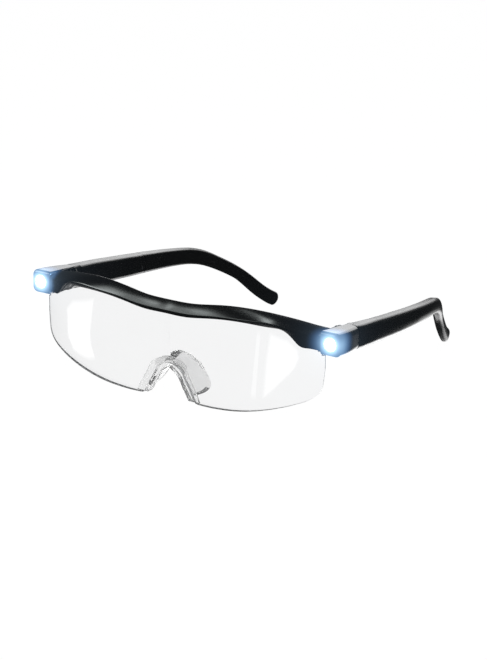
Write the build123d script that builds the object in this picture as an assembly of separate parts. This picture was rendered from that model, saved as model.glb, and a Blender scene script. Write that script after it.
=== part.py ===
from build123d import *
import os

# Lighted magnifier glasses, in millimetres.
# Inside the functions the hinge line lies at y = 0, the lens points to -Y and the ears to +Y.
# Each piece is then moved along Y, so that the middle of the whole stands at the origin.
# Left and right are the wearer's: left is +X.

# Overall sizes
temple_reach = 110.4
brow_half_width = 67.9
brow_line_height = 39.2
brow_crest_rise = 4.8
brow_forward = 11.0

# Clearances and small common sizes
fit_gap = 0.1
body_gap = 0.3
overrun = 5.0
running_gap = 0.05

# Lens
lens_ear = 2.4
lens_face_setback = 3.3
lens_end_setback = 1.7
lens_edge_thick = 1.4
lens_optic_thick = 3.4
lens_seat = 1.6
lens_side_drop = 2.18
lens_end_step = 0.6
notch_height = 15.3
notch_half_width = 19.6
notch_corner_round = 4.5

# Brow bar
brow_end_thick = 10.5
brow_rear_drop = 1.3
brow_skirt = 0.48
brow_bulge = 0.45
plate_thick = 1.2
cable_thick = 0.3
cable_room = 0.55
cable_height = 1.2
cable_lift = 0.2

# Lamp pods
lamp_drop = 4.6
pod_round = 2.4
pod_nose_round = 1.6
pod_wall = 1.1
pod_block_depth = 5.6
slot_mark_length = 4.6
slot_mark_height = 0.6
slot_mark_depth = 0.4
slot_mark_drop = 1.6

# Hinge
hinge_pin_diameter = 1.4
hinge_barrel_radius = 2.2
hinge_inset = 2.0
knuckle_height = 3.6
lead_diameter = 0.7
lead_pitch = 1.2
lead_wall = 0.5
lead_bend = 0.6
hinge_gap = 0.15
press_gap = 0.02
pin_recess = 0.6

# Temples: step in from the pod, drop from the lamp, inward run, tip and rounding
temple_step_in = 1.8
hinge_drop = 1.4
temple_inward = 26.6
tip_height = 2.1
temple_round = 2.2

# Right arm: sleeve, seam and contents
seam_gap = 0.25
sleeve_wall = 1.0
sleeve_front_wall = 3.2
plug_length = 4.5
plug_room = 0.55
plug_screw_diameter = 1.2
plug_screw_head = 2.0
plug_screw_length = 3.2
plug_screw_setback = 2.2
plug_screw_drop = 1.2
board_thick = 0.8
board_height = 5.0
cell_length = 15.0
cell_height = 5.6
cell_thick = 3.0
cell_side_room = 1.1
switch_size = 4.0
switch_body_thick = 1.8
button_length = 4.4
button_height = 2.8
button_travel = 0.6
button_proud = 0.9
button_stem = 1.6
button_stem_length = 1.2
button_flange = 0.7
socket_length = 7.5
socket_depth = 4.4
socket_thick = 2.5
socket_wall = 0.3
socket_tongue = 0.7
socket_recess = 0.3
chip_size = 3.0
chip_thick = 0.9
inside_gap = 0.9
tip_round = 1.2
tip_radius_share = 0.56
corner_share = 0.45

# Counts for curves that are worked out in steps
plan_steps = 8
temple_steps = 20
least_steps = 4
halvings = 40

# Lamp
led_diameter = 5.0
led_rim = 0.3
led_rim_thick = 1.0
led_length = 6.9
led_gap = 0.4
leg_thick = 0.5
leg_pitch = 2.54
leg_reach = 0.55
leg_room = 1.25
window_margin = 0.5
window_head_room = 0.5
window_thick = 1.0
window_lip = 0.4
reflector_length = 2.6
reflector_wall = 0.3
lamp_board_thick = 0.8
lamp_board_length = 9.0
lamp_board_margin = 1.0
resistor_length = 1.6
resistor_width = 0.8
resistor_thick = 0.5

# Screws
pod_screw_diameter = 1.4
pod_screw_head = 2.4
pod_screw_head_thick = 0.8
pod_screw_slot = 0.4

# Nose saddle
saddle_thick = 1.5
saddle_grip = 2.2
saddle_grip_wall = 0.8
saddle_rise = 3.1
saddle_foot = 1.2
pad_reach = 13.2
pad_flare = 5.0
pad_top = 20.0

# Lower edge of the black brow bar, seen from the front: shares of its half width and its height
brow_line_shares = [
    (0.0, 0.944), (0.15, 0.944), (0.3, 0.974), (0.45, 0.998), (0.6, 1.0), (0.74, 0.992),
    (0.815, 0.972), (0.865, 0.9), (0.905, 0.828), (0.95, 0.812), (1.0, 0.798),
]
# Brow sections: shares of the half width, then of the forward run for the lip, of the end thickness
# for the crest and the back behind the lip, and of the top height for the shoulder and the crest
brow_section_shares = [
    (0.0, 1.0, 0.324, 0.6, 0.872, 0.955),
    (0.18, 0.984, 0.338, 0.606, 0.874, 0.961),
    (0.37, 0.928, 0.405, 0.659, 0.904, 0.993),
    (0.56, 0.816, 0.522, 0.77, 0.918, 0.998),
    (0.74, 0.622, 0.642, 0.887, 0.915, 0.97),
    (0.885, 0.355, 0.734, 0.999, 0.868, 0.925),
    (1.0, 0.009, 0.608, 0.999, 0.84, 0.888),
]
# Lens outline below the brow: shares of the half width and the side height
lens_side_shares = [(1.0, 1.0), (1.0, 0.82), (0.993, 0.65), (0.975, 0.47)]
lens_bottom_shares = [
    (0.943, 0.39), (0.87, 0.295), (0.725, 0.17), (0.576, 0.076), (0.427, 0.02), (0.279, 0.0),
]
# Nose notch: shares of its half width and height
notch_shares = [(0.73, 0.075), (0.54, 0.32), (0.43, 0.55), (0.34, 0.76), (0.18, 0.93), (0.0, 1.0)]
# Side view of the saddle's pads: shares of their reach behind the lens face and their top
pad_profile_shares = [
    (0.69, 1.1), (0.86, 0.82), (0.98, 0.52), (0.93, 0.29), (0.68, 0.195), (0.3, 0.17), (0.0, 0.15),
]
# Temple path and section: shares of the reach, the inward run, the drop, the height and the width
temple_shares = [
    (-0.02, 0.0, -0.006, 1.0, 1.0),
    (0.151, 0.019, 0.046, 0.975, 1.01),
    (0.314, 0.075, 0.09, 0.89, 0.985),
    (0.459, 0.143, 0.123, 0.79, 0.89),
    (0.572, 0.237, 0.151, 0.7, 0.78),
    (0.677, 0.376, 0.214, 0.66, 0.69),
    (0.754, 0.53, 0.349, 0.575, 0.61),
    (0.835, 0.722, 0.549, 0.54, 0.54),
    (0.908, 0.857, 0.796, 0.59, 0.5),
    (0.992, 1.0, 1.0, 0.62, 0.48),
]

# Heights, worked out from the sizes above
brow_top_height = brow_line_height + brow_crest_rise
brow_line_end = brow_line_height * brow_line_shares[-1][1]
brow_skirt_height = brow_line_end - brow_skirt
lens_side_height = brow_line_end - lens_side_drop
lamp_z = brow_line_height - lamp_drop
temple_middle = lamp_z - hinge_drop
temple_drop = temple_middle - tip_height

# Pod, lamp and temple sections, worked out from what they hold
led_rim_diameter = led_diameter + 2 * led_rim
window_diameter = led_rim_diameter + 2 * window_margin
pod_front_width = window_diameter + 2 * (pod_wall + running_gap)
pod_front_height = window_diameter + 2 * (pod_wall + window_head_room)
pod_cavity_depth = window_lip + window_thick + led_gap + led_length + leg_reach + leg_room
pod_front_depth = pod_cavity_depth + pod_block_depth + hinge_barrel_radius
plate_height = pod_front_height - 2 * pod_wall
lamp_board_height = plate_height - 2 * lamp_board_margin
pod_screw_pitch = plate_height - pod_screw_head - 2 * fit_gap
switch_stack = 3 * board_thick / 2 + switch_body_thick + button_travel + button_stem_length + button_flange
temple_width = switch_stack + 2 * (sleeve_wall + fit_gap)
temple_height = cell_height + 2 * (sleeve_wall + cell_side_room)

# Places, worked out from the sizes above
front_depth = pod_front_depth + brow_forward
middle_shift = (front_depth - temple_reach) / 2
lens_half_width = brow_half_width + lens_ear
lens_face = lens_face_setback - front_depth
lens_wrap = brow_forward - lens_face_setback + lens_end_setback
pod_inner = brow_half_width + plate_thick + running_gap
hinge_half_span = pod_inner + temple_width / 2 - temple_step_in
pod_block_front = -hinge_barrel_radius - pod_block_depth
pod_screw_y = (pod_block_front - hinge_barrel_radius) / 2
hinge_x = hinge_half_span - temple_width / 2 + hinge_inset
pin_low = temple_middle - temple_height / 2 + pin_recess
pin_top = temple_middle + temple_height / 2 - 2 * pin_recess
lamp_x = pod_inner + pod_front_width / 2
window_front = -pod_front_depth + window_lip
reflector_front = window_front + window_thick + running_gap
led_front = window_front + window_thick + led_gap
led_back = led_front + led_length
lead_x = hinge_x + hinge_barrel_radius + hinge_gap + lead_wall + lead_diameter / 2 + fit_gap
pod_screw_length = lead_x - lead_diameter / 2 - fit_gap - body_gap - brow_half_width
board_across = -temple_width / 2 + sleeve_wall + fit_gap + board_thick
flange_reach = sleeve_front_wall + 3 * lead_diameter / 2 + body_gap
switch_reach = flange_reach + button_flange + button_length / 2
socket_reach = switch_reach + switch_size / 2 + inside_gap + socket_length / 2
chip_reach = socket_reach + socket_length / 2 + inside_gap / 2 + chip_size / 2
cell_reach = chip_reach + chip_size / 2 + inside_gap / 2 + cell_length / 2
seam_reach = cell_reach + cell_length / 2 + plug_room + plug_length
arm_inner_middle = (sleeve_front_wall + seam_reach - plug_length) / 2
socket_across = board_across + (board_thick + socket_thick) / 2 + running_gap
socket_top = socket_depth - temple_height / 2 + socket_recess
plug_screw_reach = seam_reach - plug_screw_setback
sides = {"left": 1, "right": -1}


# Lens and brow bar


def lens_front_y(x):
    """Front of the lens in plan: flat in the middle, wrapping back towards its ends."""
    return lens_face + lens_wrap * (x / lens_half_width) ** 4


def lens_thickness(x):
    """Thickness of the lens in plan: each half is thickest at its own optical middle."""
    off_middle = 2 * abs(x) / lens_half_width - 1
    return lens_optic_thick - (lens_optic_thick - lens_edge_thick) * off_middle**2


def plan_band(half_width, front_gap, back_gap):
    """Plan face between the lens front and back, set off by a gap at each."""
    right = [half_width * n / plan_steps for n in range(plan_steps + 1)]
    front = [(x, lens_front_y(x) - front_gap) for x in right]
    back = [(x, lens_front_y(x) + lens_thickness(x) + back_gap) for x in right]
    front_line = Spline([(-x, y) for x, y in reversed(front)] + front[1:])
    left_back = Spline([(-x, y) for x, y in back])
    right_back = Spline(back)
    ends = [Line(front[-1], back[-1]), Line((-front[-1][0], front[-1][1]), (-back[-1][0], back[-1][1]))]
    return make_face([front_line, left_back, right_back, *ends])


def cable_band(half_width):
    """Plan face of the flat cable behind the lens."""
    right = [half_width * n / plan_steps for n in range(plan_steps + 1)]
    near = [(x, cable_y(x)) for x in right]
    far = [(x, y + cable_thick) for x, y in near]
    lines = []
    for side in sides.values():
        lines.append(Spline([(side * x, y) for x, y in near]))
        lines.append(Spline([(side * x, y) for x, y in far]))
        lines.append(Line((side * near[-1][0], near[-1][1]), (side * far[-1][0], far[-1][1])))
    return make_face(lines)


def brow_line_points(lift):
    """Points of the lower edge of the brow from its left end to its right, lifted by a height."""
    half = [(brow_half_width * u, brow_line_height * v + lift) for u, v in brow_line_shares]
    return [(-x, z) for x, z in reversed(half)] + half[1:]


def under_brow_line(lift, half_width):
    """Prism of all that lies under the lifted brow line, as deep as the whole front."""
    points = [(x, z) for x, z in brow_line_points(lift) if abs(x) < half_width]
    left_end = (-half_width, brow_line_end + lift)
    right_end = (half_width, brow_line_end + lift)
    line = Spline([left_end] + points + [right_end])
    walls = Polyline(left_end, (-half_width, -overrun), (half_width, -overrun), right_end)
    face = Plane.XZ * make_face([line, walls])
    return extrude(face, amount=front_depth + overrun, dir=(0, -1, 0))


def brow_section(share_row, side):
    """One section of the brow bar across X: bottom, back, crest and rounded front."""
    u, lip, crest, back, shoulder, top = share_row
    x = side * brow_half_width * u
    lip_y = -pod_front_depth - brow_forward * lip
    crest_y = lip_y + brow_end_thick * crest
    back_y = lip_y + brow_end_thick * back
    shoulder_z = brow_top_height * shoulder
    crest_z = brow_top_height * top
    back_z = crest_z - brow_rear_drop
    mid_y = (lip_y + crest_y) / 2
    mid_z = (shoulder_z + crest_z) / 2 + brow_bulge
    lines = [
        Line((lip_y, brow_skirt_height), (back_y, brow_skirt_height)),
        Line((back_y, brow_skirt_height), (back_y, back_z)),
        Line((back_y, back_z), (crest_y, crest_z)),
        ThreePointArc((crest_y, crest_z), (mid_y, mid_z), (lip_y, shoulder_z)),
        Line((lip_y, shoulder_z), (lip_y, brow_skirt_height)),
    ]
    return Plane(origin=(x, 0, 0), x_dir=(0, 1, 0), z_dir=(1, 0, 0)) * make_face(lines)


def make_brow_frame():
    """Brow bar with its groove, its end lugs and the plate that carries each pod."""
    rows = [(row, -1) for row in reversed(brow_section_shares[1:])]
    rows += [(row, 1) for row in brow_section_shares]
    bar = loft([brow_section(row, side) for row, side in rows])
    bar -= under_brow_line(0, brow_half_width + overrun)
    groove_half = brow_half_width - lens_end_step
    groove = extrude(plan_band(groove_half, fit_gap, cable_room), amount=brow_top_height)
    bar -= groove & under_brow_line(lens_seat + fit_gap, groove_half)
    plate = make_end_plate()
    slot = cable_slot()
    bar += plate + mirror(plate, about=Plane.YZ)
    return bar - slot - mirror(slot, about=Plane.YZ)


def pod_screw_heights():
    """Heights of the two screws of a pod."""
    return [lamp_z - pod_screw_pitch / 2, lamp_z + pod_screw_pitch / 2]


def make_end_plate():
    """Left end plate of the brow bar, against the open side of the pod, with its screw holes."""
    front = -pod_front_depth + fit_gap
    back = -hinge_barrel_radius - body_gap
    place = Plane(origin=(brow_half_width, (front + back) / 2, lamp_z), x_dir=(0, 1, 0), z_dir=(1, 0, 0))
    plate = extrude(place * RectangleRounded(back - front, plate_height, pod_nose_round), amount=plate_thick)
    for z in pod_screw_heights():
        plate -= pod_screw_bar(z, pod_screw_diameter + 2 * fit_gap, plate_thick + overrun)
    return plate


def cable_slot():
    """Room for the flat cable through the left end plate."""
    inner = brow_half_width - 2 * lens_end_step
    outer = brow_half_width + plate_thick
    y = (cable_y(inner) + cable_y(outer)) / 2 + cable_thick / 2
    depth = abs(cable_y(outer) - cable_y(inner)) + cable_thick + 2 * fit_gap
    bottom = brow_line_end + cable_lift - fit_gap
    height = cable_height + 2 * fit_gap
    return Pos((inner + outer) / 2, y, bottom + height / 2) * Box(outer - inner, depth, height)


def cable_y(x):
    """Front face of the flat cable in plan."""
    return lens_front_y(x) + lens_thickness(x) + fit_gap


def make_brow_cable():
    """Flat cable behind the lens edge in the brow's groove, from pod to pod."""
    band = extrude(cable_band(pod_inner + fit_gap / 2), amount=brow_top_height)
    upper = under_brow_line(cable_lift + cable_height, lens_half_width)
    return band & (upper - under_brow_line(cable_lift, lens_half_width))


def make_shield_lens():
    """Clear lens: the plan band cut to its outline."""
    body = extrude(plan_band(lens_half_width, 0, 0), amount=brow_top_height)
    return body & extrude(Plane.XZ * lens_outline(), amount=front_depth + overrun, dir=(0, -1, 0))


def lens_outline():
    """Front outline of the lens: seated top, ends under the pods, lower rim and nose notch."""
    step_x = brow_half_width - 2 * lens_end_step
    end_z = brow_line_end + lens_seat
    top = [(x, z) for x, z in brow_line_points(lens_seat) if abs(x) < step_x]
    rim = [(lens_half_width * u, lens_side_height * v) for u, v in lens_side_shares + lens_bottom_shares]
    lines = [Spline([(-step_x, end_z)] + top + [(step_x, end_z)]), Line(rim[-1], (-rim[-1][0], rim[-1][1]))]
    for side in sides.values():
        ear = [(step_x, end_z), (step_x, lens_side_height), rim[0]]
        lines.append(Polyline([(side * x, z) for x, z in ear]))
        lines.append(Spline([(side * x, z) for x, z in rim]))
    outline = make_face(lines) - arch_outline(0, 0, 0)
    low = outline.vertices().filter_by(lambda v: v.Y < fit_gap)
    notch_corners = low.filter_by(lambda v: abs(v.X) < notch_half_width - fit_gap)
    return fillet(notch_corners, notch_corner_round)


# Nose saddle


def arch_outline(margin, flare, rise):
    """Closed outline inside an arch like the nose notch, grown by a margin, a flare and a rise."""
    half_width = notch_half_width + flare
    right = [(half_width * notch_shares[0][0] + margin, -overrun)]
    right += [(half_width * u + margin, (notch_height + rise) * v + margin) for u, v in notch_shares[1:-1]]
    crown = [(0, notch_height + rise + margin)]
    curve = Spline([(-x, z) for x, z in right] + crown + list(reversed(right)))
    return make_face([curve, Line(curve @ 0, curve @ 1)])


def arch_face(margin, flare, rise, y):
    """The arch outline as a face across Y."""
    return Plane(origin=(0, y, 0), x_dir=(1, 0, 0), z_dir=(0, -1, 0)) * arch_outline(margin, flare, rise)


def arch_prism(margin, front, back):
    """Prism along Y inside the nose notch grown by a margin."""
    return extrude(arch_face(margin, 0, 0, back), amount=back - front)


def pad_profile():
    """Side view of the pads: level with the bridge above, rounded behind, cut short below."""
    points = [(lens_face + pad_reach * u, pad_top * v) for u, v in pad_profile_shares]
    curve = Spline(points)
    ahead = lens_face - overrun
    front = Polyline(curve @ 1, (ahead, points[-1][1]), (ahead, pad_top + overrun), curve @ 0)
    return extrude(Plane.YZ * make_face([curve, front]), amount=lens_half_width, both=True)


def make_nose_saddle():
    """Clear moulding: a rim that grips the notch edge, with a flared pad on each side."""
    near = lens_face - saddle_grip_wall - fit_gap
    behind = lens_face + lens_edge_thick + fit_gap
    back = lens_face + pad_reach + overrun
    stretch = (back - near) / pad_reach
    outer = loft([arch_face(0, 0, 0, near), arch_face(0, pad_flare * stretch, saddle_rise * stretch, back)])
    inner = loft([
        arch_face(-saddle_thick, 0, 0, near),
        arch_face(-saddle_thick, pad_flare * stretch, saddle_rise * stretch, back),
    ])
    skirt = (outer - inner) & pad_profile()
    grip = arch_prism(saddle_grip, near, behind + saddle_grip_wall) - arch_prism(-saddle_thick, near, back)
    grip &= Pos(0, 0, saddle_foot + brow_top_height) * Box(
        2 * lens_half_width, 2 * front_depth, 2 * brow_top_height
    )
    lens_room = extrude(plan_band(lens_half_width, fit_gap, fit_gap), amount=brow_top_height)
    lens_room -= arch_prism(-fit_gap, near - overrun, back)
    return grip + skirt - lens_room


# Lamp pods


def pod_section(y, x_outer, middle_z, width, height):
    """Rounded section across Y, with its outer side at a place along X."""
    plane = Plane(origin=(x_outer - width / 2, y, middle_z), x_dir=(1, 0, 0), z_dir=(0, 1, 0))
    return plane * RectangleRounded(width, height, pod_round)


def pod_solid(inset):
    """Outer form of a left pod carried on past its open side, or the same drawn in by a wall."""
    front = pod_section(
        -pod_front_depth + inset, pod_inner + pod_front_width - inset, lamp_z,
        pod_front_width + pod_round, pod_front_height - 2 * inset,
    )
    waist_share = (pod_front_depth + led_back) / (pod_front_depth - hinge_gap)
    waist = pod_section(
        led_back, lamp_x + led_rim_diameter / 2 + fit_gap + pod_wall - inset,
        lamp_z - hinge_drop * waist_share,
        pod_front_width + pod_round - (pod_front_width - temple_width) * waist_share,
        pod_front_height - 2 * inset - (pod_front_height - temple_height) * waist_share,
    )
    rear = pod_section(
        -hinge_gap, hinge_half_span + temple_width / 2 - inset, temple_middle,
        temple_width + pod_round, temple_height - 2 * inset,
    )
    return loft([front, waist, rear])


def outward_of(x):
    """Box that holds all that lies further out than x."""
    return Pos(x + pod_front_depth, 0, temple_middle) * Box(
        2 * pod_front_depth, 4 * pod_front_depth, 4 * temple_height
    )


def hinge_cylinder(radius, low, high):
    """Upright round bar on the hinge axis."""
    return extrude(Plane(origin=(hinge_x, 0, low)) * Circle(radius), amount=high - low)


def hinge_middle(gap):
    """The hinge's middle band, where the temple's own knuckle turns, grown by a gap."""
    half = knuckle_height / 2 + gap
    return temple_middle - half, temple_middle + half


def knuckle_clip():
    """The temple's section carried along Y through the hinge, which rounds the knuckles' ends."""
    section = RectangleRounded(temple_width + 2 * fit_gap, temple_height, temple_round)
    front = (hinge_half_span, -2 * hinge_barrel_radius, temple_middle)
    plane = Plane(origin=front, x_dir=(1, 0, 0), z_dir=(0, 1, 0))
    return extrude(plane * section, amount=4 * hinge_barrel_radius)


def bar_along_y(x, z, diameter, front, back):
    """Round bar along Y."""
    return extrude(Plane(origin=(x, front, z), z_dir=(0, 1, 0)) * Circle(diameter / 2), amount=back - front)


def make_pod_housing():
    """Left pod: shell open on its inner side, solid at the rear, with two hinge knuckles."""
    shell = pod_solid(0)
    shell = fillet(shell.faces().sort_by(Axis.Y)[0].edges(), pod_nose_round)
    shell &= outward_of(pod_inner)
    low, high = hinge_middle(hinge_gap)
    shell += hinge_cylinder(hinge_barrel_radius, 0, temple_middle + temple_height) & knuckle_clip()
    shell -= hinge_cylinder(hinge_barrel_radius + hinge_gap, low, high)
    cavity = pod_solid(pod_wall) & Pos(0, pod_block_front - pod_front_depth, 0) * Box(
        4 * lens_half_width, 2 * pod_front_depth, 4 * brow_top_height
    )
    shell -= cavity
    front = -pod_front_depth - overrun
    shell -= bar_along_y(lamp_x, lamp_z, window_diameter - 2 * window_lip, front, pod_block_front)
    reflector_back = reflector_front + reflector_length
    shell -= bar_along_y(lamp_x, lamp_z, window_diameter + 2 * fit_gap, window_front, reflector_back)
    for z in pod_screw_heights():
        shell -= pod_screw_bar(z, pod_screw_diameter + 2 * running_gap, pod_screw_length + fit_gap)
    shell -= hinge_cylinder(hinge_pin_diameter / 2 + press_gap, 0, pin_top + fit_gap)
    slit = Pos(hinge_half_span + temple_width / 2, -hinge_gap, temple_middle - slot_mark_drop)
    shell -= slit * Box(2 * slot_mark_depth, 2 * slot_mark_length, slot_mark_height)
    return shell


def bore_for_leads(front, back):
    """Room for the two leads along Y."""
    bars = [bar_along_y(lead_x, z, lead_diameter + 2 * fit_gap, front, back) for z in lead_heights()]
    return bars[0] + bars[1]


def lead_heights():
    """Heights of the two leads."""
    return [temple_middle - lead_pitch / 2, temple_middle + lead_pitch / 2]


def pod_screw_bar(z, diameter, length):
    """Round bar on the line of a left pod screw, from the inner face of the end plate."""
    plane = Plane(origin=(brow_half_width, pod_screw_y, z), z_dir=(1, 0, 0))
    return extrude(plane * Circle(diameter / 2), amount=length)


def make_pod_screw(z):
    """Left pod screw: flat round head against the end plate, plain shank."""
    head_plane = Plane(origin=(brow_half_width, pod_screw_y, z), z_dir=(-1, 0, 0))
    head = extrude(head_plane * Circle(pod_screw_head / 2), amount=pod_screw_head_thick)
    slot = Pos(brow_half_width - pod_screw_head_thick, pod_screw_y, z) * Box(
        pod_screw_head_thick, pod_screw_head, pod_screw_slot
    )
    return head + pod_screw_bar(z, pod_screw_diameter, pod_screw_length) - slot


def make_lamp_window():
    """Left window: clear disc behind the lip of the pod's front opening."""
    return bar_along_y(lamp_x, lamp_z, window_diameter, window_front, window_front + window_thick)


def make_reflector():
    """Left reflector: thin open cone from the window back round the light."""
    wide = window_diameter / 2
    narrow = led_diameter / 2 + fit_gap + reflector_wall
    plane = Plane(origin=(lamp_x, reflector_front, lamp_z), x_dir=(1, 0, 0), z_dir=(0, 1, 0))
    back_plane = plane.offset(reflector_length)
    outer = loft([plane * Circle(wide), back_plane * Circle(narrow)])
    inner = loft([plane * Circle(wide - reflector_wall), back_plane * Circle(narrow - reflector_wall)])
    return outer - inner


def make_led():
    """Left light: domed body with a rim, and two legs bent in to the lamp board."""
    radius = led_diameter / 2
    dome_middle = led_front + radius
    body = bar_along_y(lamp_x, lamp_z, led_diameter, dome_middle, led_back)
    body += Pos(lamp_x, dome_middle, lamp_z) * Sphere(radius)
    body += bar_along_y(lamp_x, lamp_z, led_rim_diameter, led_back - led_rim_thick, led_back)
    board_face = pod_inner + fit_gap + lamp_board_thick + running_gap
    for z in [lamp_z - leg_pitch / 2, lamp_z + leg_pitch / 2]:
        body += Pos(lamp_x, led_back + leg_reach / 2, z) * Box(leg_thick, leg_reach, leg_thick)
        bend = (board_face + lamp_x + leg_thick / 2) / 2
        length = lamp_x + leg_thick / 2 - board_face
        body += Pos(bend, led_back + leg_reach - leg_thick / 2, z) * Box(length, leg_thick, leg_thick)
    return body


def make_lamp_board():
    """Left lamp board, upright along the open side of the pod."""
    x = pod_inner + fit_gap + lamp_board_thick / 2
    y = pod_block_front - fit_gap - lamp_board_length / 2
    return Pos(x, y, lamp_z) * Box(lamp_board_thick, lamp_board_length, lamp_board_height)


def make_lamp_resistor():
    """Left chip resistor, low on the lamp board."""
    x = pod_inner + fit_gap + lamp_board_thick + resistor_thick / 2
    y = led_back - 2 * led_rim_thick - resistor_length
    z = lamp_z - lamp_board_height / 2 + resistor_width
    return Pos(x, y, z) * Box(resistor_thick, resistor_length, resistor_width)


# Hinges


def make_hinge_pin():
    """Left hinge pin, pushed in from below into the blind upper knuckle."""
    return hinge_cylinder(hinge_pin_diameter / 2, pin_low, pin_top)


def swept_lead(points, bend):
    """Round lead along straight runs joined by arcs."""
    path = FilletPolyline(*points, radius=bend)
    start = Plane(origin=path @ 0, z_dir=path % 0)
    return sweep(start * Circle(lead_diameter / 2), path=path).solid()


def make_hinge_leads():
    """Left-hand form of the two leads from the lamp board back through the pod's rear."""
    board_face = pod_inner + fit_gap + lamp_board_thick
    turn_y = pod_block_front - lead_diameter / 2 - running_gap
    leads = [
        swept_lead([(board_face, turn_y, z), (lead_x, turn_y, z), (lead_x, -hinge_gap, z)], lead_bend)
        for z in lead_heights()
    ]
    return Compound(leads)


# Temples


def temple_points():
    """Points of the left temple's middle line, from the hinge to the tip."""
    return [
        Vector(hinge_half_span - temple_inward * u, temple_reach * r, temple_middle - temple_drop * d)
        for r, u, d, _, _ in temple_shares
    ]


path_line = Spline(temple_points())
path_shares = [path_line.param_at_point(point) for point in temple_points()]
height_shares = [height for _, _, _, height, _ in temple_shares]
width_shares = [width for _, _, _, _, width in temple_shares]


def share_at(t, shares):
    """Share from a list along the temple, read between its two nearest points."""
    for n in range(len(path_shares) - 1):
        if t <= path_shares[n + 1]:
            break
    part = (t - path_shares[n]) / (path_shares[n + 1] - path_shares[n])
    return shares[n] + (shares[n + 1] - shares[n]) * part


def temple_plane(t):
    """Plane across the temple: X outwards, Y down, Z along it."""
    along = path_line % t
    across = along.cross(Vector(0, 0, 1)).normalized()
    return Plane(origin=path_line @ t, x_dir=across, z_dir=along)


def temple_height_at(t):
    """Height of the temple's section."""
    return temple_height * share_at(t, height_shares)


def temple_width_at(t):
    """Width of the temple's section."""
    return temple_width * share_at(t, width_shares)


def temple_loft(start, end, inset):
    """Loft along part of the temple, drawn in by an inset all round."""
    steps = max(least_steps, round(temple_steps * (end - start)))
    faces = []
    for n in range(steps + 1):
        t = start + (end - start) * n / steps
        height = temple_height_at(t) - 2 * inset
        width = temple_width_at(t) - 2 * inset
        corner = min(temple_round * height / temple_height, width * corner_share)
        faces.append(temple_plane(t) * RectangleRounded(width, height, corner))
    return loft(faces)


def path_t(reach):
    """Place along the middle line, 0 to 1, at a distance behind the hinge, found by halving."""
    low, high = 0, 1
    for _ in range(halvings):
        middle = (low + high) / 2
        if (path_line @ middle).Y < reach:
            low = middle
        else:
            high = middle
    return low


def with_hinge_end(arm):
    """Cut the arm's front flat at the hinge line, and give it the middle knuckle and bores."""
    arm &= Pos(hinge_half_span, hinge_gap + temple_reach, 0) * Box(
        2 * hinge_half_span, 2 * temple_reach, 2 * brow_top_height
    )
    low, high = hinge_middle(0)
    arm -= hinge_cylinder(hinge_barrel_radius + hinge_gap, 0, low)
    arm -= hinge_cylinder(hinge_barrel_radius + hinge_gap, high, temple_middle + temple_height)
    arm += hinge_cylinder(hinge_barrel_radius, low, high) & knuckle_clip()
    return arm - hinge_cylinder(hinge_pin_diameter / 2 + running_gap, 0, temple_middle + temple_height)


def tip_waste():
    """All that lies past the rounded end of a temple, seen from its side."""
    radius = temple_height_at(1) * tip_radius_share
    end = temple_plane(1)
    past = end * Box(4 * temple_width, 4 * temple_height, 2 * radius)
    return past - end * Pos(0, 0, -radius) * Rot(0, 90, 0) * Cylinder(radius, 8 * temple_width)


def round_tip(arm):
    """Round the far end of an arm, first in side view and then along its edges."""
    arm -= tip_waste()
    tip = arm.faces().sort_by(Axis.Y)[-1]
    return fillet(tip.edges(), tip_round)


def make_temple_left():
    """Left temple, one piece from hinge to tip."""
    return with_hinge_end(round_tip(temple_loft(0, 1, 0)))


# Right arm and what it holds


def wall_place(reach, across, up):
    """Place square to the arm's wall at a reach, outwards and up from the middle of its section."""
    return temple_plane(path_t(reach)) * Pos(across, -up, 0)


def arm_place(reach, across, up):
    """Place in the straight frame of the main board, outwards and up from the arm's middle."""
    plane = temple_plane(path_t(arm_inner_middle))
    along = (reach - arm_inner_middle) / plane.z_dir.Y
    return plane * Pos(across, -up, along)


def make_arm_sleeve():
    """Left-hand form of the hollow front arm, open at its rear end."""
    seam = path_t(seam_reach)
    sleeve = temple_loft(0, seam, 0)
    sleeve -= temple_loft(path_t(sleeve_front_wall), path_t(seam_reach + seam_gap), sleeve_wall)
    sleeve = with_hinge_end(sleeve)
    sleeve -= bore_for_leads(-overrun, sleeve_front_wall + overrun)
    window = wall_place(switch_reach, temple_width / 2, 0) * Box(
        2 * sleeve_wall + temple_width / 4, button_height + 2 * fit_gap, button_length + 2 * fit_gap
    )
    sleeve -= window
    sleeve -= socket_box(fit_gap, overrun)
    sleeve -= plug_screw_bar(plug_screw_head + 2 * fit_gap, sleeve_wall + fit_gap)
    return sleeve


def socket_box(gap, below):
    """Space of the charging socket in the arm, grown by a gap, and carried on below."""
    top = socket_top + gap
    bottom = socket_top - socket_depth - below
    return arm_place(socket_reach, socket_across, (top + bottom) / 2) * Box(
        socket_thick + 2 * gap, top - bottom, socket_length + 2 * gap
    )


def make_charging_socket():
    """Left-hand form of the metal charging socket, open below, with its tongue."""
    shell = socket_box(0, 0)
    middle = socket_top - socket_depth / 2 - socket_wall
    place = arm_place(socket_reach, socket_across, middle)
    shell -= place * Box(socket_thick - 2 * socket_wall, socket_depth, socket_length - 2 * socket_wall)
    tongue = arm_place(socket_reach, socket_across, middle + socket_wall)
    tongue_depth = socket_depth - 2 * socket_wall
    return shell + tongue * Box(socket_tongue, tongue_depth, socket_length - 4 * socket_wall)


def make_main_board():
    """Left-hand form of the main circuit board, upright on the inner side of the arm."""
    length = 2 * (arm_inner_middle - sleeve_front_wall - body_gap)
    return arm_place(arm_inner_middle, board_across, 0) * Box(board_thick, board_height, length)


def on_board(reach, thick):
    """Place of the middle of a piece of some thickness on the board's outer face."""
    return arm_place(reach, board_across + (board_thick + thick) / 2, 0)


def make_switch_body():
    """Left-hand form of the small press switch on the main board."""
    return on_board(switch_reach, switch_body_thick) * Box(switch_body_thick, switch_size, switch_size)


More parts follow.
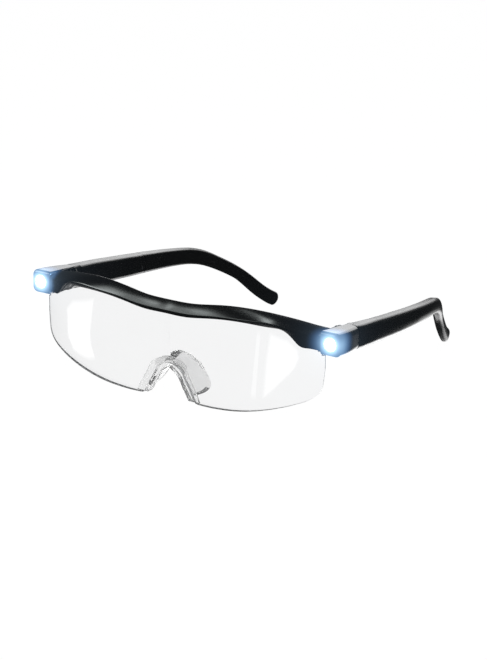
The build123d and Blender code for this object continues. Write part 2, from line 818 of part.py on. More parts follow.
def make_charge_chip():
    """Left-hand form of the charging chip on the main board."""
    return on_board(chip_reach, chip_thick) * Box(chip_thick, chip_size, chip_size)


def make_battery_cell():
    """Left-hand form of the slim rechargeable cell beside the main board."""
    cell = on_board(cell_reach, cell_thick + 2 * running_gap)
    return cell * Box(cell_thick, cell_height, cell_length)


def make_switch_button():
    """Left-hand form of the push button: face, keeper flange inside the wall, and stem."""
    wall_inner = temple_width_at(path_t(switch_reach)) / 2 - sleeve_wall
    switch_face = arm_place(switch_reach, board_across + board_thick / 2 + switch_body_thick, 0)
    face_out = wall_inner + sleeve_wall + button_proud
    flange_out = wall_inner - 2 * fit_gap
    wall_plane = temple_plane(path_t(switch_reach))
    stem_in = wall_plane.to_local_coords(switch_face.position).X + button_travel + fit_gap
    flange_in = flange_out - button_flange
    outline = Rot(0, 90, 0) * RectangleRounded(button_length, button_height, button_height * corner_share)
    cap = extrude(outline, amount=(face_out - flange_out) / 2, both=True)
    flange = Box(button_flange, button_height + 2 * button_flange, button_length + 2 * button_flange)
    stem = Box(flange_in - stem_in, button_stem, button_stem)
    button = wall_place(switch_reach, (face_out + flange_out) / 2, 0) * cap
    button += wall_place(switch_reach, (flange_out + flange_in) / 2, 0) * flange
    return button + wall_place(switch_reach, (flange_in + stem_in) / 2, 0) * stem


def make_arm_leads():
    """Left-hand form of the two leads from the hinge back to the main board."""
    board_end = arm_place(sleeve_front_wall + lead_diameter, board_across + board_thick / 2, 0)
    leads = []
    for z in lead_heights():
        turn_y = sleeve_front_wall + lead_diameter
        end = (board_end.position.X + running_gap, turn_y, z)
        leads.append(swept_lead([(lead_x, hinge_gap, z), (lead_x, turn_y, z), end], lead_bend))
    return Compound(leads)


def plug_screw_bar(diameter, length):
    """Round bar on the line of the ear piece screw, from the arm's inner face outwards."""
    inner_face = -temple_width_at(path_t(plug_screw_reach)) / 2
    place = wall_place(plug_screw_reach, inner_face, -plug_screw_drop)
    return place * Rot(0, 90, 0) * extrude(Circle(diameter / 2), amount=length)


def make_ear_piece():
    """Left-hand form of the rear part of the right temple, with the plug that enters the sleeve."""
    ear = round_tip(temple_loft(path_t(seam_reach + seam_gap), 1, 0))
    plug = temple_loft(
        path_t(seam_reach - plug_length), path_t(seam_reach + 2 * seam_gap), sleeve_wall + fit_gap
    )
    return ear + plug - plug_screw_bar(plug_screw_diameter + 2 * running_gap, plug_screw_length + 2 * fit_gap)


def make_ear_piece_screw():
    """Left-hand form of the small screw that holds the plug, its head in the sleeve's wall."""
    head = plug_screw_bar(plug_screw_head, sleeve_wall)
    slot = plug_screw_bar(plug_screw_head, sleeve_wall / 2) & plug_screw_slot_box()
    return head + plug_screw_bar(plug_screw_diameter, plug_screw_length) - slot


def plug_screw_slot_box():
    """Thin box for the driver slot of the ear piece screw."""
    place = wall_place(plug_screw_reach, -temple_width / 2, -plug_screw_drop)
    return place * Box(temple_width, 2 * plug_screw_head, pod_screw_slot)


# Writing the pieces


def both(shape):
    """A left piece with its mirror image, as one group of separate solids."""
    return Compound(shape.solids() + mirror(shape, about=Plane.YZ).solids())


def write(name, shape):
    """Write one piece, or a group of solids, moved to the frame of the whole."""
    solids = [Pos(0, middle_shift, 0) * solid for solid in shape.solids()]
    whole = solids[0] if len(solids) == 1 else Compound(solids)
    export_step(whole, f"parts/{name}.step")


def write_pair(name, shape):
    """Write a left piece and its mirror image as two pieces."""
    write(f"{name}_left", shape)
    write(f"{name}_right", mirror(shape, about=Plane.YZ))


def write_right(name, shape):
    """Write the mirror image of a piece that was built in its left-hand form."""
    write(f"{name}_right", mirror(shape, about=Plane.YZ))


os.makedirs("parts", exist_ok=True)

write("brow_frame", make_brow_frame())
write("shield_lens", make_shield_lens())
write("nose_saddle", make_nose_saddle())
write("brow_cable", make_brow_cable())

housing = make_pod_housing()
write("pod_housing_left", housing)
write_right("pod_housing", housing - bore_for_leads(pod_block_front - overrun, overrun))
write_pair("lamp_window", make_lamp_window())
write_pair("reflector", make_reflector())
write_pair("led", make_led())
write_pair("lamp_board", make_lamp_board())
write("lamp_resistors", both(make_lamp_resistor()))
screws = [make_pod_screw(z).solid() for z in pod_screw_heights()]
write("pod_screws", both(Compound(screws)))
write("hinge_pins", both(make_hinge_pin()))
write_right("hinge_leads", make_hinge_leads())

write("temple_left", make_temple_left())
write_right("arm_sleeve", make_arm_sleeve())
write_right("ear_piece", make_ear_piece())
write_right("ear_piece_screw", make_ear_piece_screw())
write_right("main_board", make_main_board())
write_right("switch_body", make_switch_body())
write_right("charge_chip", make_charge_chip())
write_right("battery_cell", make_battery_cell())
write_right("charging_socket", make_charging_socket())
write_right("switch_button", make_switch_button())
write_right("arm_leads", make_arm_leads())
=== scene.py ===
"""Looks of the lighted magnifier glasses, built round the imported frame."""
import logging
import math
from dataclasses import dataclass
from enum import Enum
from typing import Callable, Sequence

import bmesh
import bpy
import numpy as np
from mathutils import Matrix, Vector


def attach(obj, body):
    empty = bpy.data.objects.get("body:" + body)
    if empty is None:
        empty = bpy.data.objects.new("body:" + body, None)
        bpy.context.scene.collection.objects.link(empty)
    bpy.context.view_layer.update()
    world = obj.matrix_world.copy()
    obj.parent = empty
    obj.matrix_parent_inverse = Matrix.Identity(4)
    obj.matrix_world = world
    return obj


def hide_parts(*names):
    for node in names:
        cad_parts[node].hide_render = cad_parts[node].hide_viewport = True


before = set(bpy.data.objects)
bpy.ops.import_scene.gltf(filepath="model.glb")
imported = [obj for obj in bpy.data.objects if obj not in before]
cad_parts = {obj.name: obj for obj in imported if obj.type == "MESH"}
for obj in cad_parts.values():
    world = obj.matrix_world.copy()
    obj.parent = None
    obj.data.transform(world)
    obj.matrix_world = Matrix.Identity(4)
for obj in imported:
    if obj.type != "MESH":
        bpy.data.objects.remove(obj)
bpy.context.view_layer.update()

logging.basicConfig(level=logging.INFO, format="%(message)s")
log = logging.getLogger("glasses")

Point = tuple[float, float, float]
Spot = tuple[float, float]
Colour = tuple[float, float, float]
Curve = Callable[[float], float]

MILLIMETRE = 0.001


class Body(Enum):
    """The rigid bodies that carry the pieces built here."""

    FRONT = "front"
    LEFT_TEMPLE = "left_temple"


class Side(Enum):
    """The wearer's side, as the sign of X."""

    LEFT = 1
    RIGHT = -1


@dataclass(frozen=True)
class Sizes:
    """Sizes that several pieces share, in millimetres, with the hinge line at y = 0."""

    hinge_shift: float = -40.55
    lens_half_width: float = 70.3
    lens_face: float = -26.0
    lens_wrap: float = 9.4
    brow_half_width: float = 67.9
    brow_line_height: float = 39.2
    brow_top_height: float = 44.0
    lens_side_height: float = 29.1
    lens_seat: float = 1.6
    lens_edge_thick: float = 1.4
    lens_optic_thick: float = 3.4
    lens_step: float = 67.6
    fit_gap: float = 0.1
    lamp_x: float = 73.6
    lamp_y: float = -17.0
    lamp_z: float = 34.6
    brow_line_shares: tuple[Spot, ...] = (
        (0.0, 0.944), (0.15, 0.944), (0.3, 0.974), (0.45, 0.998), (0.6, 1.0), (0.74, 0.992),
        (0.815, 0.972), (0.865, 0.9), (0.905, 0.828), (0.95, 0.812), (1.0, 0.798),
    )

    def metres(self, x: float, y: float, z: float) -> Point:
        """Point of the hinge frame, in millimetres, as metres in the frame of the whole.

        Args:
            x: Place to the wearer's left.
            y: Place behind the hinge line.
            z: Height over the table.

        Returns:
            The same point in metres, with the middle of the whole over the origin.
        """
        return x * MILLIMETRE, (y + self.hinge_shift) * MILLIMETRE, z * MILLIMETRE

    def lens_front(self, x: float) -> float:
        """Front of the lens in plan: flat in the middle, wrapping back at its ends."""
        return self.lens_face + self.lens_wrap * abs(x / self.lens_half_width) ** 4

    def lens_thickness(self, x: float) -> float:
        """Thickness of the lens in plan, thickest in the middle of each half."""
        off = 2 * abs(x) / self.lens_half_width - 1
        return self.lens_optic_thick - (self.lens_optic_thick - self.lens_edge_thick) * off**2

    def brow_line(self) -> Curve:
        """Height of the lower edge of the brow bar at a place along X."""
        curve = mirrored_curve(*zip(*self.brow_line_shares))
        return lambda x: self.brow_line_height * curve(x / self.brow_half_width)


# Curves and meshes


def smooth_curve(places: Sequence[float], values: Sequence[float]) -> Curve:
    """Natural cubic spline through a table.

    Args:
        places: Rising places of the table.
        values: Value at each place.

    Returns:
        A function that gives the value at any place.
    """
    x, y = np.array(places, float), np.array(values, float)
    count = len(x)
    step = np.diff(x)
    matrix = np.eye(count)
    pull = np.zeros(count)
    for i in range(1, count - 1):
        matrix[i, i - 1 : i + 2] = step[i - 1], 2 * (step[i - 1] + step[i]), step[i]
        pull[i] = 6 * ((y[i + 1] - y[i]) / step[i] - (y[i] - y[i - 1]) / step[i - 1])
    bend = np.linalg.solve(matrix, pull)

    def at(place: float) -> float:
        """Value of the spline at one place."""
        i = int(np.clip(np.searchsorted(x, place) - 1, 0, count - 2))
        p, q, h = x[i + 1] - place, place - x[i], step[i]
        straight = (y[i] / h - bend[i] * h / 6) * p + (y[i + 1] / h - bend[i + 1] * h / 6) * q
        return float(straight + (bend[i] * p**3 + bend[i + 1] * q**3) / (6 * h))

    return at


def mirrored_curve(shares: Sequence[float], values: Sequence[float]) -> Curve:
    """Spline through a table that starts at the middle of the glasses, the same on both sides.

    Args:
        shares: Rising shares of the half width, the first of them 0.
        values: Value at each share.

    Returns:
        A function of the share.
    """
    places = [-s for s in reversed(shares[1:])] + list(shares)
    both = list(reversed(values[1:])) + list(values)
    curve = smooth_curve(places, both)
    return lambda share: curve(abs(share))


def drawn_line(points: Sequence[Spot], count: int) -> tuple[np.ndarray, np.ndarray]:
    """Smooth line through points in a plane, sampled evenly along its chords.

    Args:
        points: The points that it goes through.
        count: How many samples to take.

    Returns:
        The two coordinates of the samples.
    """
    table = np.array(points, float)
    run = np.concatenate([[0.0], np.cumsum(np.hypot(*np.diff(table, axis=0).T))])
    first, second = smooth_curve(run, table[:, 0]), smooth_curve(run, table[:, 1])
    places = np.linspace(0.0, run[-1], count)
    return np.array([first(p) for p in places]), np.array([second(p) for p in places])


def rounded_ring(corners: Sequence[tuple[float, float, float]], steps: int = 4) -> list[Spot]:
    """Closed outline with each corner rounded by its own radius.

    Args:
        corners: Two coordinates and a radius for each corner, in order.
        steps: Pieces that each rounding is made of.

    Returns:
        The points of the rounded outline, one for each corner whose radius is 0.
    """
    ring: list[Spot] = []
    for n, (a, b, radius) in enumerate(corners):
        here = np.array((a, b))
        if radius == 0:
            ring.append((a, b))
            continue
        before = np.array(corners[n - 1][:2]) - here
        after = np.array(corners[(n + 1) % len(corners)][:2]) - here
        near, far = np.linalg.norm(before), np.linalg.norm(after)
        cosine = float(np.clip(before @ after / (near * far), -0.999, 0.999))
        cut = min(radius / math.tan(math.acos(cosine) / 2), 0.45 * near, 0.45 * far)
        start, end = here + before / near * cut, here + after / far * cut
        for step in range(steps + 1):
            t = step / steps
            ring.append(tuple((1 - t) ** 2 * start + 2 * t * (1 - t) * here + t**2 * end))
    return ring


def lofted(shape: bmesh.types.BMesh, rings: Sequence[Sequence[Point]]) -> None:
    """Add a closed skin over a row of rings to a mesh.

    Args:
        shape: Mesh that gets the skin.
        rings: Rings of the same number of points, in metres, in order along the piece.
    """
    rows = [[shape.verts.new(point) for point in ring] for ring in rings]
    faces = []
    for near, far in zip(rows, rows[1:]):
        for n in range(len(near)):
            after = (n + 1) % len(near)
            faces.append(shape.faces.new((near[n], near[after], far[after], far[n])))
    faces.append(shape.faces.new(rows[0]))
    faces.append(shape.faces.new(list(reversed(rows[-1]))))
    bmesh.ops.recalc_face_normals(shape, faces=faces)


def new_piece(name: str, shape: bmesh.types.BMesh) -> bpy.types.Object:
    """Turn a mesh in the making into an object at the origin, shaded smooth."""
    mesh = bpy.data.meshes.new(name)
    shape.to_mesh(mesh)
    shape.free()
    for face in mesh.polygons:
        face.use_smooth = True
    return in_scene(name, mesh)


def in_scene(name: str, data: bpy.types.ID) -> bpy.types.Object:
    """Object that shows the given data, in the scene."""
    made = bpy.data.objects.new(name, data)
    bpy.context.scene.collection.objects.link(made)
    return made


def settle(piece: bpy.types.Object) -> None:
    """Turn the result of a piece's modifiers into its plain mesh and take the modifiers off."""
    bpy.context.view_layer.update()
    graph = bpy.context.evaluated_depsgraph_get()
    done = bpy.data.meshes.new_from_object(
        piece.evaluated_get(graph), preserve_all_data_layers=True, depsgraph=graph
    )
    piece.modifiers.clear()
    piece.data = done


def soften(piece: bpy.types.Object, width: float, angle: float = 45.0, rounds: int = 2) -> None:
    """Round a piece's edges a little and let its flat faces stay flat in the shading.

    Args:
        piece: The piece.
        width: Width of the rounding, in millimetres; 0 for none.
        angle: Least turn of an edge that is rounded, in degrees.
        rounds: Faces across the rounding.
    """
    if width:
        bevel = piece.modifiers.new("rounding", "BEVEL")
        bevel.width = width * MILLIMETRE
        bevel.segments = rounds
        bevel.limit_method = "ANGLE"
        bevel.angle_limit = math.radians(angle)
    weighted = piece.modifiers.new("flat_faces", "WEIGHTED_NORMAL")
    weighted.keep_sharp = True
    settle(piece)


# Node trees


class NodeTree:
    """Short way to build a node tree."""

    def __init__(self, tree: bpy.types.NodeTree) -> None:
        """Start on a tree and empty it."""
        self.tree = tree
        self.tree.nodes.clear()

    def node(
        self, kind: str, settings: dict[str, object] | None = None, **inputs: object
    ) -> bpy.types.Node:
        """Add one node.

        Args:
            kind: Blender's name for the node.
            settings: Settings of the node itself.
            inputs: Sockets or values for its inputs, with underscores for the spaces of their names.

        Returns:
            The node.
        """
        made = self.tree.nodes.new(kind)
        for key, value in (settings or {}).items():
            setattr(made, key, value)
        for key, value in inputs.items():
            self.feed(made.inputs[key.replace("_", " ")], value)
        return made

    def feed(self, socket: bpy.types.NodeSocket, value: object) -> None:
        """Link a socket to an input, or set the input's value."""
        if isinstance(value, bpy.types.NodeSocket):
            self.tree.links.new(value, socket)
        else:
            socket.default_value = value

    def math(self, operation: str, first: object, second: object = 0.0) -> bpy.types.NodeSocket:
        """One sum; each side is a socket or a number."""
        made = self.node("ShaderNodeMath", {"operation": operation})
        self.feed(made.inputs[0], first)
        self.feed(made.inputs[1], second)
        return made.outputs[0]


class ShapeTree(NodeTree):
    """Short way to build one Geometry Nodes tree with named inputs."""

    def __init__(self, name: str) -> None:
        """Start a tree with a geometry input and output."""
        super().__init__(bpy.data.node_groups.new(name, "GeometryNodeTree"))
        for way in ("OUTPUT", "INPUT"):
            self.tree.interface.new_socket(name="Geometry", in_out=way, socket_type="NodeSocketGeometry")
        self.start = self.node("NodeGroupInput")
        self.end = self.node("NodeGroupOutput")
        self.inputs: dict[str, str] = {}

    def size(self, name: str, kind: str = "NodeSocketFloat") -> bpy.types.NodeSocket:
        """Add a named input and return its socket inside the tree."""
        item = self.tree.interface.new_socket(name=name, in_out="INPUT", socket_type=kind)
        self.inputs[name] = item.identifier
        return self.start.outputs[name]

    def finish(self, geometry: bpy.types.NodeSocket, material: bpy.types.NodeSocket) -> None:
        """End the tree in real geometry with its material."""
        real = self.node("GeometryNodeRealizeInstances", Geometry=geometry)
        dressed = self.node("GeometryNodeSetMaterial", Geometry=real.outputs[0], Material=material)
        self.feed(self.end.inputs["Geometry"], dressed.outputs[0])

    def apply(self, piece: bpy.types.Object, **values: object) -> None:
        """Put the tree on a piece and set its inputs by their identifiers.

        Args:
            piece: The piece that the tree shapes.
            values: A value for each named input, with underscores for the spaces of the names.
        """
        modifier = piece.modifiers.new(self.tree.name, "NODES")
        modifier.node_group = self.tree
        for key, value in values.items():
            modifier[self.inputs[key.replace("_", " ")]] = value


class Bench(NodeTree):
    """Short way to build one material's node tree."""

    def __init__(self, name: str) -> None:
        """Start a material with a Principled shader joined to its output."""
        self.material = bpy.data.materials.new(name)
        self.material.use_nodes = True
        super().__init__(self.material.node_tree)
        self.shader = self.node("ShaderNodeBsdfPrincipled")
        self.node("ShaderNodeOutputMaterial", Surface=self.shader.outputs["BSDF"])
        self.coordinates = self.node("ShaderNodeTexCoord").outputs

    def join(self, source: bpy.types.NodeSocket, target: str) -> None:
        """Link a socket to an input of the shader."""
        self.feed(self.shader.inputs[target], source)

    def set(self, **values: object) -> None:
        """Set inputs of the shader, with underscores for the spaces of their names."""
        for key, value in values.items():
            socket = self.shader.inputs[key.replace("_", " ")]
            socket.default_value = (*value, 1.0) if isinstance(value, tuple) and len(value) == 3 else value

    def noise(
        self, scale: float, detail: float = 2.0, stretch: Point = (1.0, 1.0, 1.0)
    ) -> bpy.types.NodeSocket:
        """Noise on the piece's own coordinates.

        Args:
            scale: Waves per metre.
            detail: Octaves of finer noise.
            stretch: Factor for the pattern along each axis.

        Returns:
            The factor socket.
        """
        placed = self.node("ShaderNodeMapping", Vector=self.coordinates["Object"], Scale=stretch)
        noise = self.node("ShaderNodeTexNoise", Vector=placed.outputs[0], Scale=scale, Detail=detail)
        return noise.outputs["Fac"]

    def spread(
        self, source: bpy.types.NodeSocket, low: float, high: float, start: float = 0.0, end: float = 1.0
    ) -> bpy.types.NodeSocket:
        """Map a value from one range to another.

        Args:
            source: Value to map.
            low: Result at the start.
            high: Result at the end.
            start: Value that gives the low result.
            end: Value that gives the high result.

        Returns:
            The mapped value's socket.
        """
        limits = {"From_Min": start, "From_Max": end, "To_Min": low, "To_Max": high}
        return self.node("ShaderNodeMapRange", Value=source, **limits).outputs["Result"]

    def blend(self, factor: bpy.types.NodeSocket, near: Colour, far: Colour) -> bpy.types.NodeSocket:
        """Mix two colours by a factor and return the colour socket."""
        node = self.node("ShaderNodeMix", {"data_type": "RGBA"})
        colours = [s for s in node.inputs if s.type == "RGBA"]
        colours[0].default_value = (*near, 1.0)
        colours[1].default_value = (*far, 1.0)
        self.feed(node.inputs[0], factor)
        return next(s for s in node.outputs if s.type == "RGBA")

    def bump(self, height: bpy.types.NodeSocket, distance: float, strength: float = 1.0) -> None:
        """Add a bump, in millimetres, to the shader's normal, over any bump that is there already."""
        node = self.node("ShaderNodeBump", Height=height, Distance=distance * MILLIMETRE, Strength=strength)
        before = self.shader.inputs["Normal"].links
        if before:
            self.feed(node.inputs["Normal"], before[0].from_socket)
        self.join(node.outputs["Normal"], "Normal")

    def distance_from(self, centre: Point) -> bpy.types.NodeSocket:
        """Distance of the surface from a place in the frame of the whole."""
        node = self.node("ShaderNodeVectorMath", {"operation": "DISTANCE"})
        self.feed(node.inputs[0], self.coordinates["Object"])
        self.feed(node.inputs[1], centre)
        return node.outputs["Value"]

    def coordinate(self, kind: str, name: str) -> bpy.types.NodeSocket:
        """X, Y or Z of the surface's place ("Object") or of the way that it faces ("Normal")."""
        return self.node("ShaderNodeSeparateXYZ", Vector=self.coordinates[kind]).outputs[name]


# Finishes


@dataclass(frozen=True)
class Coat:
    """Base of the finishes.

    Attributes:
        name: Name of the finish.
    """

    name: str

    def make(self) -> bpy.types.Material:
        """Build the material."""
        bench = Bench(self.name)
        self.mix(bench)
        return bench.material

    def mix(self, bench: Bench) -> None:
        """Set the shader's inputs; each finish has its own way."""
        raise NotImplementedError


@dataclass(frozen=True)
class BlackPlastic(Coat):
    """Moulded black plastic, from polished to dull, with fine mould grain and dust, and near the lamps a
    painted glow.

    Attributes:
        colour: Base colour.
        roughness: Middle roughness.
        grain: Height of the mould grain, in millimetres.
        glow: Strength of the painted glow, an emission that stands in for the lamps' light on the surface
            close to them.
        glow_reach: How far the painted glow spreads, in metres.
        dull_from: Place along Y, in metres, from which the surface grows dull.
        dull: Roughness added beyond that place.
        dull_run: Length over which it grows, in metres.
        matt_below: Whether faces that look down are left matt from the mould.
    """

    colour: Colour = (0.0045, 0.0048, 0.0052)
    roughness: float = 0.2
    grain: float = 0.004
    glow: float = 0.0
    glow_reach: float = 0.011
    dull_from: float | None = None
    dull: float = 0.2
    dull_run: float = 0.02
    matt_below: bool = False

    def mix(self, bench: Bench) -> None:
        """Set the shader's inputs."""
        bench.set(Specular_IOR_Level=0.5, Coat_Weight=0.3, Coat_Roughness=0.12)
        rough = bench.spread(bench.noise(160.0, 3.0), self.roughness * 0.85, self.roughness * 1.15)
        if self.dull_from is not None:
            along = bench.coordinate("Object", "Y")
            dull = bench.spread(along, 0.0, self.dull, self.dull_from, self.dull_from + self.dull_run)
            rough = bench.math("ADD", rough, dull)
        if self.matt_below:
            down = bench.spread(bench.coordinate("Normal", "Z"), 0.65, 0.0, start=-0.35, end=-0.12)
            rough = bench.math("ADD", rough, down)
        bench.join(rough, "Roughness")
        speck = bench.spread(bench.noise(5200.0, 1.0), 0.0, 1.0, start=0.70, end=0.78)
        dusty = tuple(c * 2.2 + 0.004 for c in self.colour)
        bench.join(bench.blend(speck, self.colour, dusty), "Base Color")
        bench.bump(bench.noise(2600.0, 2.0), self.grain, strength=0.5)
        bench.bump(bench.noise(110.0, 1.0), self.grain * 4, strength=0.35)
        if self.glow:
            self.add_painted_glow(bench)

    def add_painted_glow(self, bench: Bench) -> None:
        """Painted glow: emission on the surface close to each lamp that stands in for the lamps' light
        spilling onto the plastic.
        """
        total = None
        for centre in LAMP_FRONTS:
            near = bench.spread(bench.distance_from(centre), 1.0, 0.0, end=self.glow_reach)
            near = bench.math("POWER", bench.math("MAXIMUM", near, 0.0), 2.0)
            total = near if total is None else bench.math("ADD", total, near)
        tone = bench.spread(total, 0.0, 1.0, start=0.05, end=0.5)
        # painted glow: blue-white emission in place of the lamps' light on the plastic
        bench.join(bench.blend(tone, (0.13, 0.36, 0.85), (0.5, 0.78, 1.0)), "Emission Color")
        bench.join(bench.math("MULTIPLY", total, self.glow), "Emission Strength")


@dataclass(frozen=True)
class ClearPlastic(Coat):
    """Clear moulding with faint haze and fine surface waves.

    Attributes:
        tint: Colour of what shines through.
        roughness: Haze of the surface.
        index: Refractive index.
        wave: Height of the surface waves, in millimetres.
        clearness: Share of the light that goes through; the rest is scattered.
    """

    tint: Colour = (0.985, 0.99, 0.99)
    roughness: float = 0.0
    index: float = 1.49
    wave: float = 0.0
    clearness: float = 1.0

    def mix(self, bench: Bench) -> None:
        """Set the shader's inputs."""
        bench.set(Transmission_Weight=self.clearness, IOR=self.index)
        haze = bench.spread(bench.noise(420.0, 2.0), self.roughness, self.roughness + 0.012)
        bench.join(haze, "Roughness")
        faint = tuple(c * 0.99 for c in self.tint)
        bench.join(bench.blend(bench.noise(60.0, 1.0), self.tint, faint), "Base Color")
        if self.wave:
            bench.bump(bench.noise(240.0, 1.0), self.wave, strength=0.6)


@dataclass(frozen=True)
class LampLight(Coat):
    """Lit face of a lamp: white in the middle, bluer towards its rim.

    Attributes:
        radius: Radius of a lamp, in metres.
        strength: Strength in the middle.
    """

    radius: float = 0.0045
    strength: float = 34.0

    def mix(self, bench: Bench) -> None:
        """Set the shader's inputs."""
        bench.set(Base_Color=(0.85, 0.9, 1.0), Roughness=0.12)
        first, second = (bench.distance_from(c) for c in LAMP_FRONTS)
        near = bench.spread(bench.math("MINIMUM", first, second), 1.0, 0.0, end=self.radius)
        bench.join(bench.blend(near, (0.34, 0.62, 1.0), (0.62, 0.82, 1.0)), "Emission Color")
        peak = bench.math("MULTIPLY", bench.math("POWER", near, 2.0), self.strength)
        bench.join(bench.math("ADD", peak, 2.0), "Emission Strength")


@dataclass(frozen=True)
class Metal(Coat):
    """Plain metal with turning marks.

    Attributes:
        colour: Base colour.
        roughness: Middle roughness.
    """

    colour: Colour = (0.62, 0.62, 0.63)
    roughness: float = 0.3

    def mix(self, bench: Bench) -> None:
        """Set the shader's inputs."""
        bench.set(Metallic=1.0)
        marks = bench.noise(3000.0, 3.0, (1.0, 0.15, 1.0))
        bench.join(bench.spread(marks, self.roughness * 0.7, self.roughness * 1.35), "Roughness")
        darker = tuple(c * 0.8 for c in self.colour)
        bench.join(bench.blend(marks, self.colour, darker), "Base Color")
        bench.bump(marks, 0.003, strength=0.4)


@dataclass(frozen=True)
class BoardCoat(Coat):
    """Coated circuit board with faint traces under the coat.

    Attributes:
        colour: Colour of the coat.
        trace: Colour of the coat over a trace.
    """

    colour: Colour = (0.012, 0.11, 0.045)
    trace: Colour = (0.03, 0.19, 0.075)

    def mix(self, bench: Bench) -> None:
        """Set the shader's inputs."""
        bench.set(Coat_Weight=0.4)
        place = bench.coordinates["Object"]
        wave = bench.node("ShaderNodeTexWave", Vector=place, Scale=420.0, Distortion=1.4)
        lines = bench.spread(wave.outputs["Fac"], 0.0, 1.0, start=0.55, end=0.62)
        bench.join(bench.blend(lines, self.colour, self.trace), "Base Color")
        bench.join(bench.spread(bench.noise(900.0), 0.25, 0.4), "Roughness")
        bench.bump(lines, 0.03, strength=0.5)


@dataclass(frozen=True)
class DullCase(Coat):
    """Dull moulded or wrapped case of a small component.

    Attributes:
        colour: Base colour.
        roughness: Middle roughness.
        metallic: How metallic the surface is.
    """

    colour: Colour
    roughness: float = 0.55
    metallic: float = 0.0

    def mix(self, bench: Bench) -> None:
        """Set the shader's inputs."""
        bench.set(Metallic=self.metallic)
        grain = bench.noise(3800.0, 3.0)
        bench.join(bench.spread(grain, self.roughness * 0.85, self.roughness * 1.15), "Roughness")
        lighter = tuple(min(1.0, c * 1.25 + 0.01) for c in self.colour)
        bench.join(bench.blend(grain, self.colour, lighter), "Base Color")
        bench.bump(grain, 0.01, strength=0.5)


SIZES = Sizes()
LAMP_FRONTS = tuple(SIZES.metres(s.value * SIZES.lamp_x, SIZES.lamp_y, SIZES.lamp_z) for s in Side)


class Finish(Enum):
    """The finishes of the glasses."""

    # BROW and POD get a painted glow (glow): emission near the lamps that stands in for their light on the
    # plastic
    BROW = BlackPlastic("brow_black", roughness=0.22, grain=0.003, glow=1.5, matt_below=True)
    POD = BlackPlastic("pod_black", roughness=0.22, grain=0.003, glow=1.9)
    TEMPLE = BlackPlastic("temple_black", roughness=0.25, dull_from=0.01, dull=0.16)
    LENS = ClearPlastic("lens_clear", (0.945, 0.947, 0.95))
    RIM = ClearPlastic("lens_rim", (0.95, 0.95, 0.96), 0.3, clearness=0.15)
    SADDLE = ClearPlastic("saddle_clear", (0.99, 0.99, 0.99), 0.02, 1.25, 0.004, 0.84)
    WINDOW = ClearPlastic("window_clear", (0.97, 0.985, 1.0))
    LAMP = LampLight("lamp_light")
    BRIGHT = Metal("bright_plate", (0.9, 0.91, 0.93), 0.08)
    STEEL = Metal("plain_steel")
    DARK_STEEL = Metal("dark_steel", (0.035, 0.036, 0.038), 0.4)
    BOARD = BoardCoat("board_coat")
    CHIP = DullCase("chip_case", (0.02, 0.02, 0.021))
    CELL = DullCase("cell_wrapper", (0.55, 0.56, 0.58), 0.4, 0.7)
    CABLE = DullCase("flat_cable", (0.02, 0.011, 0.005), 0.5)
    LEAD = DullCase("lead_skin", (0.2, 0.012, 0.01), 0.45)

    def material(self) -> bpy.types.Material:
        """The finish's material, made when it is first asked for."""
        return bpy.data.materials.get(self.value.name) or self.value.make()


# Sub-assemblies


@dataclass
class SubAssembly:
    """Base of the sub-assemblies: places its own pieces and dresses the nodes that it keeps."""

    sizes: Sizes = SIZES

    def keep(self, node: str, finish: Finish) -> None:
        """Keep a node of the frame as it is and give it its finish."""
        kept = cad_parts[node]
        if not kept.material_slots:
            kept.data.materials.append(None)
        for place in kept.material_slots:
            place.material = finish.material()
        log.info("kept %s in %s", node, finish.value.name)

    def dress(self, piece: bpy.types.Object, finish: Finish) -> None:
        """Give a piece its one finish."""
        piece.data.materials.clear()
        piece.data.materials.append(finish.material())

    def place(self, piece: bpy.types.Object, body: Body, slot: str, *nodes: str) -> None:
        """Let a piece ride on a body in the place of nodes of the frame.

        Args:
            piece: The finished piece.
            body: The body that carries it.
            slot: Not used.
            nodes: The nodes that it stands for.
        """
        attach(piece, body.value)
        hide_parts(*nodes)
        log.info("built %s with %d faces", piece.name, len(piece.data.polygons))


